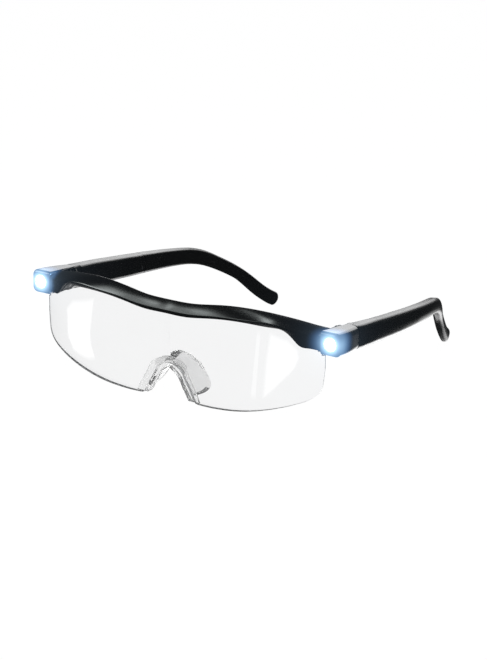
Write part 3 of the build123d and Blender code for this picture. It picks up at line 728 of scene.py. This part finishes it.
@dataclass
class BrowBar(SubAssembly):
    """Black bar over the lens, with its groove for the lens and a plate for each pod."""

    front_at_ends: float = -18.3
    forward_run: float = 11.0
    end_thick: float = 10.5
    rear_drop: float = 1.3
    bulge: float = 0.45
    groove_depth: float = 1.7
    groove_back_room: float = 0.55
    plate_outer: float = 69.1
    plate_front: float = -18.2
    plate_bottom: float = 30.8
    plate_back: float = -2.5
    plate_top: float = 38.4
    plate_corner: float = 1.6
    plate_edge: float = 0.2
    end_overlap: float = 0.2
    least_back: float = 0.4
    lip_round: float = 0.35
    shoulder_round: float = 0.8
    crest_round: float = 0.5
    foot_round: float = 0.3
    groove_round: float = 0.1
    pinch_depth: float = 0.1
    pinch_width: float = 2.6
    stations: int = 80
    arc_steps: int = 8
    section_shares: tuple[tuple[float, ...], ...] = (
        (0.0, 1.0, 0.324, 0.6, 0.872, 0.955),
        (0.18, 0.984, 0.338, 0.606, 0.874, 0.961),
        (0.37, 0.928, 0.405, 0.659, 0.904, 0.993),
        (0.56, 0.816, 0.522, 0.77, 0.918, 0.998),
        (0.74, 0.622, 0.642, 0.887, 0.915, 0.97),
        (0.885, 0.355, 0.734, 0.999, 0.868, 0.925),
        (1.0, 0.009, 0.608, 0.999, 0.84, 0.888),
    )

    def __post_init__(self) -> None:
        """Turn the table of sections into curves along the bar."""
        table = list(zip(*self.section_shares))
        self.curves = [mirrored_curve(table[0], column) for column in table[1:]]
        self.lower = self.sizes.brow_line()

    def build(self) -> None:
        """Build the bar and put it in the frame."""
        shape = bmesh.new()
        lofted(shape, [self.ring(x) for x in self.places()])
        for side in Side:
            lofted(shape, self.plate_rings(side))
        piece = new_piece("brow_bar", shape)
        self.dress(piece, Finish.BROW)
        soften(piece, 0.0)
        self.place(piece, Body.FRONT, "gloss_black", "brow_frame")

    def places(self) -> list[float]:
        """Places along X of the bar's rings; the last lies inside the plate."""
        right = list(np.linspace(0.0, self.sizes.brow_half_width + self.end_overlap, self.stations))
        return [-x for x in reversed(right[1:])] + right

    def ring(self, x: float) -> list[Point]:
        """Closed section of the bar at a place along X."""
        sizes = self.sizes
        lip, crest, back, shoulder, top = (curve(x / sizes.brow_half_width) for curve in self.curves)
        lip_y = self.front_at_ends - self.forward_run * lip
        crest_y, back_y = lip_y + self.end_thick * crest, lip_y + self.end_thick * back
        shoulder_z, crest_z = sizes.brow_top_height * shoulder, sizes.brow_top_height * top
        low = self.lower(x)
        roof = low + self.groove_depth
        near = sizes.lens_front(x) - sizes.fit_gap
        far = sizes.lens_front(x) + sizes.lens_thickness(x) + self.groove_back_room
        far = min(far, back_y - self.least_back)
        pinch = self.pinch_depth * math.exp(-((x / self.pinch_width) ** 2))
        ends = {0: self.shoulder_round, self.arc_steps: self.crest_round}
        corners = [(lip_y, low, self.lip_round)]
        for n in range(self.arc_steps + 1):
            t = n / self.arc_steps
            lift = 4 * t * (1 - t)
            y = lip_y + (crest_y - lip_y) * t + pinch * lift
            z = shoulder_z + (crest_z - shoulder_z) * t + (self.bulge - pinch) * lift
            corners.append((y, z, ends.get(n, 0.0)))
        corners += [(back_y, crest_z - self.rear_drop, self.crest_round), (back_y, low, self.foot_round)]
        corners += [(far, low, self.groove_round), (far, roof, 0.0)]
        corners += [(near, roof, 0.0), (near, low, self.groove_round)]
        return [sizes.metres(x, y, z) for y, z in rounded_ring(corners)]

    def plate_rings(self, side: Side) -> list[list[Point]]:
        """Rings of the plate at one end of the bar, with its outer edges broken."""
        inner, outer, edge = self.sizes.brow_half_width, self.plate_outer, self.plate_edge
        rings = []
        for x, inset in ((inner, 0.0), (outer - edge, 0.0), (outer - edge / 3, edge / 3), (outer, edge)):
            front, back = self.plate_front + inset, self.plate_back - inset
            low, top = self.plate_bottom + inset, self.plate_top - inset
            spots = ((front, low), (front, top), (back, top), (back, low))
            ring = rounded_ring([(y, z, self.plate_corner) for y, z in spots])
            rings.append([self.sizes.metres(side.value * x, y, z) for y, z in ring])
        return rings


@dataclass
class ShieldLens(SubAssembly):
    """Clear wrap-round lens: its outline is drawn flat, and Geometry Nodes give it its form."""

    side_shares: tuple[Spot, ...] = ((1.0, 1.0), (1.0, 0.82), (0.993, 0.65), (0.975, 0.47))
    bottom_shares: tuple[Spot, ...] = (
        (0.943, 0.39), (0.87, 0.295), (0.725, 0.17), (0.576, 0.076), (0.427, 0.02), (0.279, 0.0),
    )
    notch_shares: tuple[Spot, ...] = ((0.0, 1.0), (0.18, 0.93), (0.34, 0.76), (0.43, 0.55), (0.54, 0.32))
    notch_foot: Spot = (0.73, -0.327)
    notch_half_width: float = 19.6
    notch_height: float = 15.3
    notch_run_out: float = 3.0
    corner_softness: float = 1.9
    steps: tuple[Spot, ...] = ((67.75, 30.65), (69.0, 30.65), (69.12, 29.1), (70.3, 29.1))
    rows: int = 18
    rim_samples: int = 400
    notch_columns: int = 56
    middle_columns: int = 50
    step_columns: int = 5
    end_columns: int = 6
    edge_rounding: float = 0.12
    rounded_turn: float = 50.0

    def build(self) -> None:
        """Build the lens and put it in the frame."""
        piece = self.flat_outline()
        sizes = self.sizes
        self.form_tree().apply(
            piece,
            Half_Width=sizes.lens_half_width * MILLIMETRE,
            Face=(sizes.lens_face + sizes.hinge_shift) * MILLIMETRE,
            Wrap=sizes.lens_wrap * MILLIMETRE,
            Middle_Thickness=sizes.lens_optic_thick * MILLIMETRE,
            Edge_Thickness=sizes.lens_edge_thick * MILLIMETRE,
            Material=Finish.LENS.material(),
            Rim_Material=Finish.RIM.material(),
        )
        soften(piece, self.edge_rounding, self.rounded_turn)
        self.place(piece, Body.FRONT, "clear_lens", "shield_lens")

    def lower_line(self) -> Curve:
        """Height of the lens's lower rim, notch included, at a place along X."""
        half, side = self.sizes.lens_half_width, self.sizes.lens_side_height
        rim = [(u * half, v * side) for u, v in reversed(self.side_shares + self.bottom_shares)]
        along, height = drawn_line(rim, self.rim_samples)
        along = np.maximum.accumulate(np.minimum(along, half))
        last = int(np.argmax(along >= half - 0.02)) + 1
        arch = [(self.notch_half_width * u, self.notch_height * v) for u, v in self.notch_shares]
        arch.append((self.notch_half_width * self.notch_foot[0], self.notch_height * self.notch_foot[1]))
        notch = mirrored_curve(*zip(*arch))
        foot_x, foot_z = arch[-1]

        def at(x: float) -> float:
            """Height of the rim at one place."""
            x = abs(x)
            if x > self.notch_half_width:
                return float(np.interp(x, along[:last], height[:last]))
            rise = notch(x) if x < foot_x else foot_z - self.notch_run_out * (x - foot_x)
            return 0.5 * (rise + math.hypot(rise, self.corner_softness))

        return at

    def places(self) -> list[float]:
        """Places along X of the lens's columns, closer together round the notch and at the ends."""
        step, half = self.sizes.lens_step, self.sizes.lens_half_width
        notch = np.linspace(0.0, self.notch_half_width, self.notch_columns)
        middle = np.linspace(self.notch_half_width, step, self.middle_columns)[1:]
        first, second, third = (x for x, _ in self.steps[:3])
        at_step = np.linspace(first, second, self.step_columns)
        right = [*notch, *middle, *at_step, *np.linspace(third, half, self.end_columns)]
        return [-x for x in reversed(right[1:])] + right

    def flat_outline(self) -> bpy.types.Object:
        """Sheet of four-sided faces in the plane y = 0 that fills the lens's outline."""
        lower, upper = self.lower_line(), self.sizes.brow_line()
        shape = bmesh.new()
        columns = []
        for x in self.places():
            low, top = lower(x), upper(x) + self.sizes.lens_seat
            if abs(x) > self.sizes.lens_step:
                top = float(np.interp(abs(x), *zip(*self.steps)))
            heights = [low + (top - low) * n / self.rows for n in range(self.rows + 1)]
            columns.append([shape.verts.new((x * MILLIMETRE, 0.0, z * MILLIMETRE)) for z in heights])
        for near, far in zip(columns, columns[1:]):
            for n in range(self.rows):
                shape.faces.new((near[n], near[n + 1], far[n + 1], far[n]))
        return new_piece("lens_shell", shape)

    def form_tree(self) -> ShapeTree:
        """Tree that wraps the flat sheet, gives it its two magnifying halves and closes its rim."""
        tree = ShapeTree("lens_form")
        half_width, face, wrap = (tree.size(name) for name in ("Half Width", "Face", "Wrap"))
        middle, edge = tree.size("Middle Thickness"), tree.size("Edge Thickness")
        material = tree.size("Material", "NodeSocketMaterial")
        rim_material = tree.size("Rim Material", "NodeSocketMaterial")
        position = tree.node("GeometryNodeInputPosition").outputs[0]
        place = tree.node("ShaderNodeSeparateXYZ", Vector=position)
        across = place.outputs["X"]
        share = tree.math("ABSOLUTE", tree.math("DIVIDE", across, half_width))
        front = tree.math("ADD", face, tree.math("MULTIPLY", wrap, tree.math("POWER", share, 4.0)))
        off = tree.math("SUBTRACT", tree.math("MULTIPLY", share, 2.0), 1.0)
        loss = tree.math("MULTIPLY", tree.math("SUBTRACT", middle, edge), tree.math("MULTIPLY", off, off))
        back = tree.math("ADD", front, tree.math("SUBTRACT", middle, loss))
        front_place = tree.node("ShaderNodeCombineXYZ", X=across, Y=front, Z=place.outputs["Z"])
        back_place = tree.node("ShaderNodeCombineXYZ", X=across, Y=back, Z=place.outputs["Z"])
        sheet = tree.node(
            "GeometryNodeSetPosition",
            Geometry=tree.start.outputs["Geometry"], Position=front_place.outputs[0],
        )
        pulled = tree.node(
            "GeometryNodeExtrudeMesh", {"mode": "FACES"},
            Mesh=sheet.outputs[0], Offset=(0.0, 1.0, 0.0), Offset_Scale=MILLIMETRE, Individual=False,
        )
        body = tree.node(
            "GeometryNodeSetPosition",
            Geometry=pulled.outputs["Mesh"], Selection=pulled.outputs["Top"], Position=back_place.outputs[0],
        )
        turned = tree.node("GeometryNodeFlipFaces", Mesh=sheet.outputs[0])
        closed = tree.node("GeometryNodeJoinGeometry")
        tree.feed(closed.inputs[0], body.outputs[0])
        tree.feed(closed.inputs[0], turned.outputs[0])
        merged = tree.node("GeometryNodeMergeByDistance", Geometry=closed.outputs[0], Distance=1e-6)
        at_crease = tree.math("LESS_THAN", tree.math("ABSOLUTE", across), 1e-5)
        creased = tree.node(
            "GeometryNodeSetShadeSmooth", {"domain": "EDGE"},
            Geometry=merged.outputs[0], Selection=at_crease, Shade_Smooth=False,
        )
        real = tree.node("GeometryNodeRealizeInstances", Geometry=creased.outputs[0])
        clear = tree.node("GeometryNodeSetMaterial", Geometry=real.outputs[0], Material=material)
        rimmed = tree.node(
            "GeometryNodeSetMaterial",
            Geometry=clear.outputs[0], Selection=pulled.outputs["Side"], Material=rim_material,
        )
        tree.feed(tree.end.inputs["Geometry"], rimmed.outputs[0])
        return tree


@dataclass
class PodScrews(SubAssembly):
    """Slotted screws that hold each pod to the brow bar's end plate, repeated by Geometry Nodes."""

    head_diameter: float = 2.4
    head_thick: float = 0.8
    shank_diameter: float = 1.4
    shank_length: float = 4.0
    slot_width: float = 0.4
    pitch: float = 5.0
    behind_hinge: float = -5.0
    edge_rounding: float = 0.06
    rounded_turn: float = 50.0
    sides: int = 32

    def build(self) -> None:
        """Build the four screws and put them in the frame."""
        points = bpy.data.meshes.new("pod_screw_set")
        places = [(side, step) for side in Side for step in (-0.5, 0.5)]
        points.from_pydata([self.place_of(side, step) for side, step in places], [], [])
        axes = points.attributes.new("axis", "FLOAT_VECTOR", "POINT")
        axes.data.foreach_set("vector", [c for side, _ in places for c in (-float(side.value), 0.0, 0.0)])
        piece = in_scene("pod_screw_set", points)
        self.screw_tree().apply(
            piece,
            Head_Diameter=self.head_diameter * MILLIMETRE,
            Head_Thickness=self.head_thick * MILLIMETRE,
            Shank_Diameter=self.shank_diameter * MILLIMETRE,
            Shank_Length=self.shank_length * MILLIMETRE,
            Slot_Width=self.slot_width * MILLIMETRE,
            Material=Finish.DARK_STEEL.material(),
        )
        soften(piece, self.edge_rounding, self.rounded_turn, rounds=1)
        self.place(piece, Body.FRONT, "steel", "pod_screws")

    def place_of(self, side: Side, step: float) -> Point:
        """Place of a screw's head on the inner face of the end plate."""
        x = side.value * self.sizes.brow_half_width
        return self.sizes.metres(x, self.behind_hinge, self.sizes.lamp_z + step * self.pitch)

    def screw_tree(self) -> ShapeTree:
        """Tree that makes one slotted screw and sets it on every point along the point's axis."""
        tree = ShapeTree("slotted_screws")
        head_width, head_thick = tree.size("Head Diameter"), tree.size("Head Thickness")
        shank_width, shank_length = tree.size("Shank Diameter"), tree.size("Shank Length")
        slot_width = tree.size("Slot Width")
        material = tree.size("Material", "NodeSocketMaterial")
        head = self.upright(tree, head_width, head_thick, tree.math("MULTIPLY", head_thick, 0.5))
        shank = self.upright(tree, shank_width, shank_length, tree.math("MULTIPLY", shank_length, -0.5))
        slot_length = tree.math("MULTIPLY", head_width, 2.0)
        slot_size = tree.node("ShaderNodeCombineXYZ", X=slot_length, Y=slot_width, Z=head_thick)
        bar = tree.node("GeometryNodeMeshCube", Size=slot_size.outputs[0])
        lifted = tree.node("ShaderNodeCombineXYZ", Z=head_thick)
        slot = tree.node(
            "GeometryNodeTransform", Geometry=bar.outputs["Mesh"], Translation=lifted.outputs[0]
        )
        cut = tree.node("GeometryNodeMeshBoolean", {"operation": "DIFFERENCE"}, Mesh_1=head)
        tree.feed(cut.inputs["Mesh 2"], slot.outputs[0])
        whole = tree.node("GeometryNodeJoinGeometry")
        tree.feed(whole.inputs[0], cut.outputs["Mesh"])
        tree.feed(whole.inputs[0], shank)
        axis = tree.node("GeometryNodeInputNamedAttribute", {"data_type": "FLOAT_VECTOR"}, Name="axis")
        turn = tree.node("FunctionNodeAlignRotationToVector", {"axis": "Z"}, Vector=axis.outputs[0])
        placed = tree.node(
            "GeometryNodeInstanceOnPoints",
            Points=tree.start.outputs["Geometry"], Instance=whole.outputs[0], Rotation=turn.outputs[0],
        )
        tree.finish(placed.outputs[0], material)
        return tree

    def upright(
        self,
        tree: ShapeTree,
        width: bpy.types.NodeSocket,
        height: bpy.types.NodeSocket,
        middle: bpy.types.NodeSocket,
    ) -> bpy.types.NodeSocket:
        """Round bar along Z.

        Args:
            tree: The tree that gets it.
            width: Its diameter.
            height: Its height.
            middle: Height of its middle.

        Returns:
            The bar's geometry.
        """
        radius = tree.math("MULTIPLY", width, 0.5)
        bar = tree.node("GeometryNodeMeshCylinder", Vertices=self.sides, Radius=radius, Depth=height)
        place = tree.node("ShaderNodeCombineXYZ", Z=middle)
        moved = tree.node(
            "GeometryNodeTransform", Geometry=bar.outputs["Mesh"], Translation=place.outputs[0]
        )
        return moved.outputs[0]


@dataclass
class FrontFittings(SubAssembly):
    """What the front carries besides the bar and the lens: saddle, pods, lamps and cable."""

    def build(self) -> None:
        """Dress the nodes."""
        self.keep("nose_saddle", Finish.SADDLE)
        self.keep("brow_cable", Finish.CABLE)
        for side in Side:
            word = side.name.lower()
            self.keep(f"pod_housing_{word}", Finish.POD)
            self.keep(f"lamp_window_{word}", Finish.WINDOW)
            self.keep(f"reflector_{word}", Finish.BRIGHT)
            self.keep(f"led_{word}", Finish.LAMP)
            self.keep(f"lamp_board_{word}", Finish.BOARD)
        self.keep("lamp_resistors", Finish.CHIP)
        self.keep("hinge_pins", Finish.DARK_STEEL)
        self.keep("hinge_leads_right", Finish.LEAD)


@dataclass
class DomedTemple(SubAssembly):
    """Left temple with softly domed sides: the frame's own form, narrowed above and below its middle."""

    cut_length: float = 2.0
    cut_height: float = 0.6
    narrowing: float = 0.3
    dome_start: float = 4.0
    dome_full: float = 16.0
    sharp_turn: float = 32.0

    def build(self) -> None:
        """Build the temple and put it in the frame."""
        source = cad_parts["temple_left"]
        shape = bmesh.new()
        shape.from_mesh(source.data)
        shape.transform(source.matrix_world)
        bmesh.ops.remove_doubles(shape, verts=shape.verts[:], dist=1e-7)
        cuts = self.cut(shape, Vector((0.0, 1.0, 0.0)), self.cut_length)
        self.cut(shape, Vector((0.0, 0.0, 1.0)), self.cut_height)
        self.narrow(shape, cuts)
        for edge in shape.edges:
            edge.smooth = edge.calc_face_angle(0.0) < math.radians(self.sharp_turn)
        piece = new_piece("domed_temple_left", shape)
        self.dress(piece, Finish.TEMPLE)
        soften(piece, 0.0)
        self.place(piece, Body.LEFT_TEMPLE, "satin_black", "temple_left")

    def cut(self, shape: bmesh.types.BMesh, axis: Vector, step: float) -> list[float]:
        """Cut the faces finer by evenly spaced planes.

        Args:
            shape: Mesh to cut.
            axis: Direction across the planes.
            step: Space between the planes, in millimetres.

        Returns:
            The places of the planes along the axis, in metres.
        """
        along = [vertex.co.dot(axis) for vertex in shape.verts]
        places = np.arange(min(along), max(along), step * MILLIMETRE)[1:]
        for place in places:
            everything = [*shape.verts, *shape.edges, *shape.faces]
            bmesh.ops.bisect_plane(
                shape, geom=everything, dist=1e-7, plane_co=axis * float(place), plane_no=axis
            )
        return [float(place) for place in places]

    def narrow(self, shape: bmesh.types.BMesh, cuts: Sequence[float]) -> None:
        """Bring the sides together towards the top and the bottom of the temple.

        Args:
            shape: Mesh of the temple, cut at the given places.
            cuts: Places of the cuts along Y, in metres.
        """
        points = np.array([vertex.co for vertex in shape.verts])
        rings = [points[np.abs(points[:, 1] - place) < 2e-7] for place in cuts]
        kept = [(place, ring) for place, ring in zip(cuts, rings) if len(ring) > 2]
        places = [place for place, _ in kept]
        middles = np.array([(ring.max(axis=0) + ring.min(axis=0)) / 2 for _, ring in kept])
        halves = np.array([(ring.max(axis=0) - ring.min(axis=0)) / 2 for _, ring in kept])
        start = (self.sizes.hinge_shift + self.dome_start) * MILLIMETRE
        full = (self.sizes.hinge_shift + self.dome_full) * MILLIMETRE
        for vertex, (x, y, z) in zip(shape.verts, points):
            middle_x, middle_z = np.interp(y, places, middles[:, 0]), np.interp(y, places, middles[:, 2])
            off = min(1.0, abs(z - middle_z) / np.interp(y, places, halves[:, 2]))
            share = self.narrowing * off**2 * float(np.clip((y - start) / (full - start), 0.0, 1.0))
            vertex.co.x = float(middle_x + (x - middle_x) * (1 - share))


@dataclass
class RightTemple(SubAssembly):
    """The right temple and what it holds."""

    def build(self) -> None:
        """Dress the nodes."""
        for node in ("arm_sleeve_right", "ear_piece_right", "switch_button_right"):
            self.keep(node, Finish.TEMPLE)
        for node in ("ear_piece_screw_right", "charging_socket_right"):
            self.keep(node, Finish.STEEL)
        for node in ("charge_chip_right", "switch_body_right"):
            self.keep(node, Finish.CHIP)
        self.keep("main_board_right", Finish.BOARD)
        self.keep("battery_cell_right", Finish.CELL)
        self.keep("arm_leads_right", Finish.LEAD)


# Studio


def direction(azimuth: float, elevation: float) -> Vector:
    """Direction from the glasses at an azimuth and an elevation, in degrees."""
    a, e = math.radians(azimuth), math.radians(elevation)
    return Vector((math.sin(a) * math.cos(e), -math.cos(a) * math.cos(e), math.sin(e)))


@dataclass(frozen=True)
class Card:
    """Bright card that only reflections see.

    Attributes:
        name: Name of the card.
        azimuth: Direction from the glasses, in degrees from the front towards the wearer's left.
        elevation: Direction above the table, in degrees.
        distance: Distance from the glasses, in metres.
        width: Width, in metres.
        height: Height, in metres.
        strength: Brightness.
        colour: Colour.
        soft: Share of the card over which its light fades out to its edge.
    """

    name: str
    azimuth: float
    elevation: float
    distance: float
    width: float
    height: float
    strength: float
    colour: Colour = (0.93, 1.0, 0.99)
    soft: float = 0.75

    def corners(self) -> list[Point]:
        """Corners of the card, facing the glasses."""
        back = direction(self.azimuth, self.elevation)
        turn = back.to_track_quat("Z", "Y").to_matrix().to_4x4()
        place = Matrix.Translation(back * self.distance) @ turn
        w, h = self.width / 2, self.height / 2
        return [tuple(place @ Vector(p)) for p in ((-w, -h, 0), (w, -h, 0), (w, h, 0), (-w, h, 0))]


@dataclass
class Studio:
    """Pale floor, soft light, reflection cards and the camera."""

    azimuth: float = 36.376
    elevation: float = 16.992
    roll: float = 0.242
    distance: float = 1.5125
    focal: float = 3639.58
    frame_height: float = 660.0
    target: Point = (-0.001255, -0.01435, 0.016127)
    sizes: Sizes = SIZES
    cards: tuple[Card, ...] = (
        Card("card_brow_main", -59.5, 33.0, 1.0, 0.46, 0.52, 9.5),
        Card("card_brow_side", -32.0, 37.0, 1.0, 0.48, 0.5, 3.0),
        Card("card_overhead", -78.0, 76.0, 0.9, 0.34, 0.2, 8.0),
        Card("card_behind", 203.0, 23.0, 1.6, 1.35, 1.05, 2.0, (1.0, 1.0, 1.0), 0.25),
        Card("card_low_behind", 184.0, -35.0, 0.6, 0.5, 0.42, 3.4, (1.0, 1.0, 1.0)),
    )
    patch_reach: float = 0.15
    patches: tuple[tuple[str, float, tuple[Spot, ...]], ...] = (
        ("card_patch_left", 2.6, (
            (-52.6, 32.2), (-39.0, 36.0), (-40.4, 27.0), (-41.5, 20.0), (-40.9, 14.6),
            (-38.6, 8.7), (-42.7, 7.4), (-52.6, 9.6), (-56.3, 15.4), (-56.7, 27.7),
        )),
        ("card_patch_right", 2.6, (
            (48.3, 37.0), (56.2, 34.8), (60.5, 31.0), (61.0, 27.5), (59.5, 23.0), (53.0, 15.5),
            (45.0, 7.6), (46.4, 25.0),
        )),
        ("card_patch_strip", 1.4, ((39.9, 7.0), (42.4, 7.0), (44.6, 37.0), (42.9, 37.0))),
    )
    softboxes: tuple[tuple[str, Point, float, float], ...] = (
        ("softbox_top", (0.1, -0.2, 1.1), 0.9, 5.0),
        ("softbox_front", (0.5, -1.1, 0.7), 0.7, 3.0),
    )
    floor_half: float = 6.0
    surround: Colour = (0.9, 0.97, 1.0)
    surround_strength: float = 0.04

    def build(self) -> None:
        """Make everything that isn't part of the object."""
        self.make_floor()
        self.make_world()
        for card in self.cards:
            self.hang_card(card.name, card.corners(), card.strength, card.colour, card.soft)
        for name, strength, outline in self.patches:
            self.mirror_patch(name, outline, strength)
        for softbox in self.softboxes:
            self.make_softbox(*softbox)
        self.make_camera()
        self.make_flare()
        log.info("studio ready")

    def hang_card(
        self, name: str, corners: Sequence[Point], strength: float, colour: Colour, soft: float
    ) -> None:
        """Hang one bright card whose light fades out towards its edge.

        Args:
            name: Name of the card.
            corners: Its corners, in order.
            strength: Brightness.
            colour: Colour.
            soft: Share of the card over which its light fades out.
        """
        count = len(corners)
        outer = [Vector(c) for c in corners]
        middle = sum(outer, Vector()) / count
        inner = [middle + (c - middle) * (1 - soft) for c in outer]
        sides = [(n, (n + 1) % count, count + (n + 1) % count, count + n) for n in range(count)]
        mesh = bpy.data.meshes.new(name)
        mesh.from_pydata([tuple(c) for c in outer + inner], [], [tuple(range(count, 2 * count)), *sides])
        fade = mesh.attributes.new("glow", "FLOAT", "POINT")
        fade.data.foreach_set("value", [0.0] * count + [1.0] * count)
        card = in_scene(name, mesh)
        material = bpy.data.materials.new(name)
        material.use_nodes = True
        tree = NodeTree(material.node_tree)
        fading = tree.node("ShaderNodeAttribute", {"attribute_name": "glow"})
        scaled = tree.math("MULTIPLY", fading.outputs["Fac"], strength)
        glow = tree.node("ShaderNodeEmission", Color=(*colour, 1.0), Strength=scaled)
        tree.node("ShaderNodeOutputMaterial", Surface=glow.outputs["Emission"])
        mesh.materials.append(material)
        card.visible_camera = card.visible_diffuse = False
        card.visible_transmission = card.visible_shadow = False

    def mirror_patch(self, name: str, outline: Sequence[Spot], strength: float) -> None:
        """Hang a card where the lens mirrors it to the camera inside an outline on the lens.

        Args:
            name: Name of the card.
            outline: Places on the lens, in millimetres along X and Z.
            strength: Brightness.
        """
        sizes = self.sizes
        camera = Vector(self.target) + direction(self.azimuth, self.elevation) * self.distance
        corners = []
        for x, z in outline:
            spot = Vector(sizes.metres(x, sizes.lens_front(x), z))
            slope = 4 * sizes.lens_wrap / sizes.lens_half_width * (x / sizes.lens_half_width) ** 3
            normal = Vector((slope, -1.0, 0.0)).normalized()
            view = (camera - spot).normalized()
            corners.append(tuple(spot + (2 * normal.dot(view) * normal - view) * self.patch_reach))
        self.hang_card(name, corners, strength, (1.0, 1.0, 1.0), 0.2)

    def make_floor(self) -> None:
        """Wide pale floor that shines almost evenly."""
        half = self.floor_half
        mesh = bpy.data.meshes.new("floor")
        corners = [(-half, -half, 0), (half, -half, 0), (half, half, 0), (-half, half, 0)]
        mesh.from_pydata(corners, [], [(0, 1, 2, 3)])
        floor = in_scene("floor", mesh)
        bench = Bench("floor_pale")
        bench.set(Base_Color=(0.04, 0.04, 0.04), Roughness=1.0, Specular_IOR_Level=0.0)
        bench.set(Emission_Color=(1.0, 1.0, 1.0), Emission_Strength=0.99)
        bench.material.cycles.emission_sampling = "NONE"
        mesh.materials.append(bench.material)
        floor.visible_glossy = False

    def make_world(self) -> None:
        """Dim even surroundings."""
        world = bpy.data.worlds.new("surroundings")
        bpy.context.scene.world = world
        world.use_nodes = True
        back = world.node_tree.nodes["Background"]
        back.inputs["Color"].default_value = (*self.surround, 1.0)
        back.inputs["Strength"].default_value = self.surround_strength

    def make_softbox(self, name: str, place: Point, size: float, power: float) -> None:
        """Square soft light aimed at the glasses."""
        light = bpy.data.lights.new(name, "AREA")
        light.size = size
        light.energy = power
        lamp = in_scene(name, light)
        lamp.location = place
        lamp.rotation_euler = (-Vector(place)).to_track_quat("-Z", "Y").to_euler()
        lamp.visible_glossy = False

    def make_camera(self) -> None:
        """Camera at the photograph's place; its focal length is in pixels of the frame's height."""
        back = direction(self.azimuth, self.elevation)
        a, r = math.radians(self.azimuth), math.radians(self.roll)
        level = Vector((math.cos(a), math.sin(a), 0.0))
        upright = level.cross(-back)
        right = level * math.cos(r) + upright * math.sin(r)
        up = upright * math.cos(r) - level * math.sin(r)
        data = bpy.data.cameras.new("camera")
        data.sensor_width = 36.0
        data.lens = self.focal * data.sensor_width / self.frame_height
        data.clip_start, data.clip_end = 0.05, 50.0
        camera = in_scene("camera", data)
        turn = Matrix((right, up, back)).transposed()
        camera.matrix_world = Matrix.Translation(Vector(self.target) + back * self.distance) @ turn.to_4x4()
        bpy.context.scene.camera = camera
        bpy.context.scene.view_settings.view_transform = "Standard"

    def make_flare(self) -> None:
        """Soft halo round the lit lamps."""
        scene = bpy.context.scene
        scene.use_nodes = True
        tree = NodeTree(scene.node_tree)
        image = tree.node("CompositorNodeRLayers").outputs["Image"]
        kind = {"glare_type": "BLOOM", "quality": "HIGH"}
        glare = tree.node("CompositorNodeGlare", kind, Image=image, Threshold=1.5, Strength=0.8, Size=0.4)
        tree.node("CompositorNodeComposite", Image=glare.outputs["Image"])


def main() -> None:
    """Build the studio and every sub-assembly in order."""
    Studio().build()
    for part in (BrowBar(), ShieldLens(), PodScrews(), FrontFittings(), DomedTemple(), RightTemple()):
        part.build()
        log.info("%s ready", type(part).__name__)


if __name__ == "__main__":
    main()
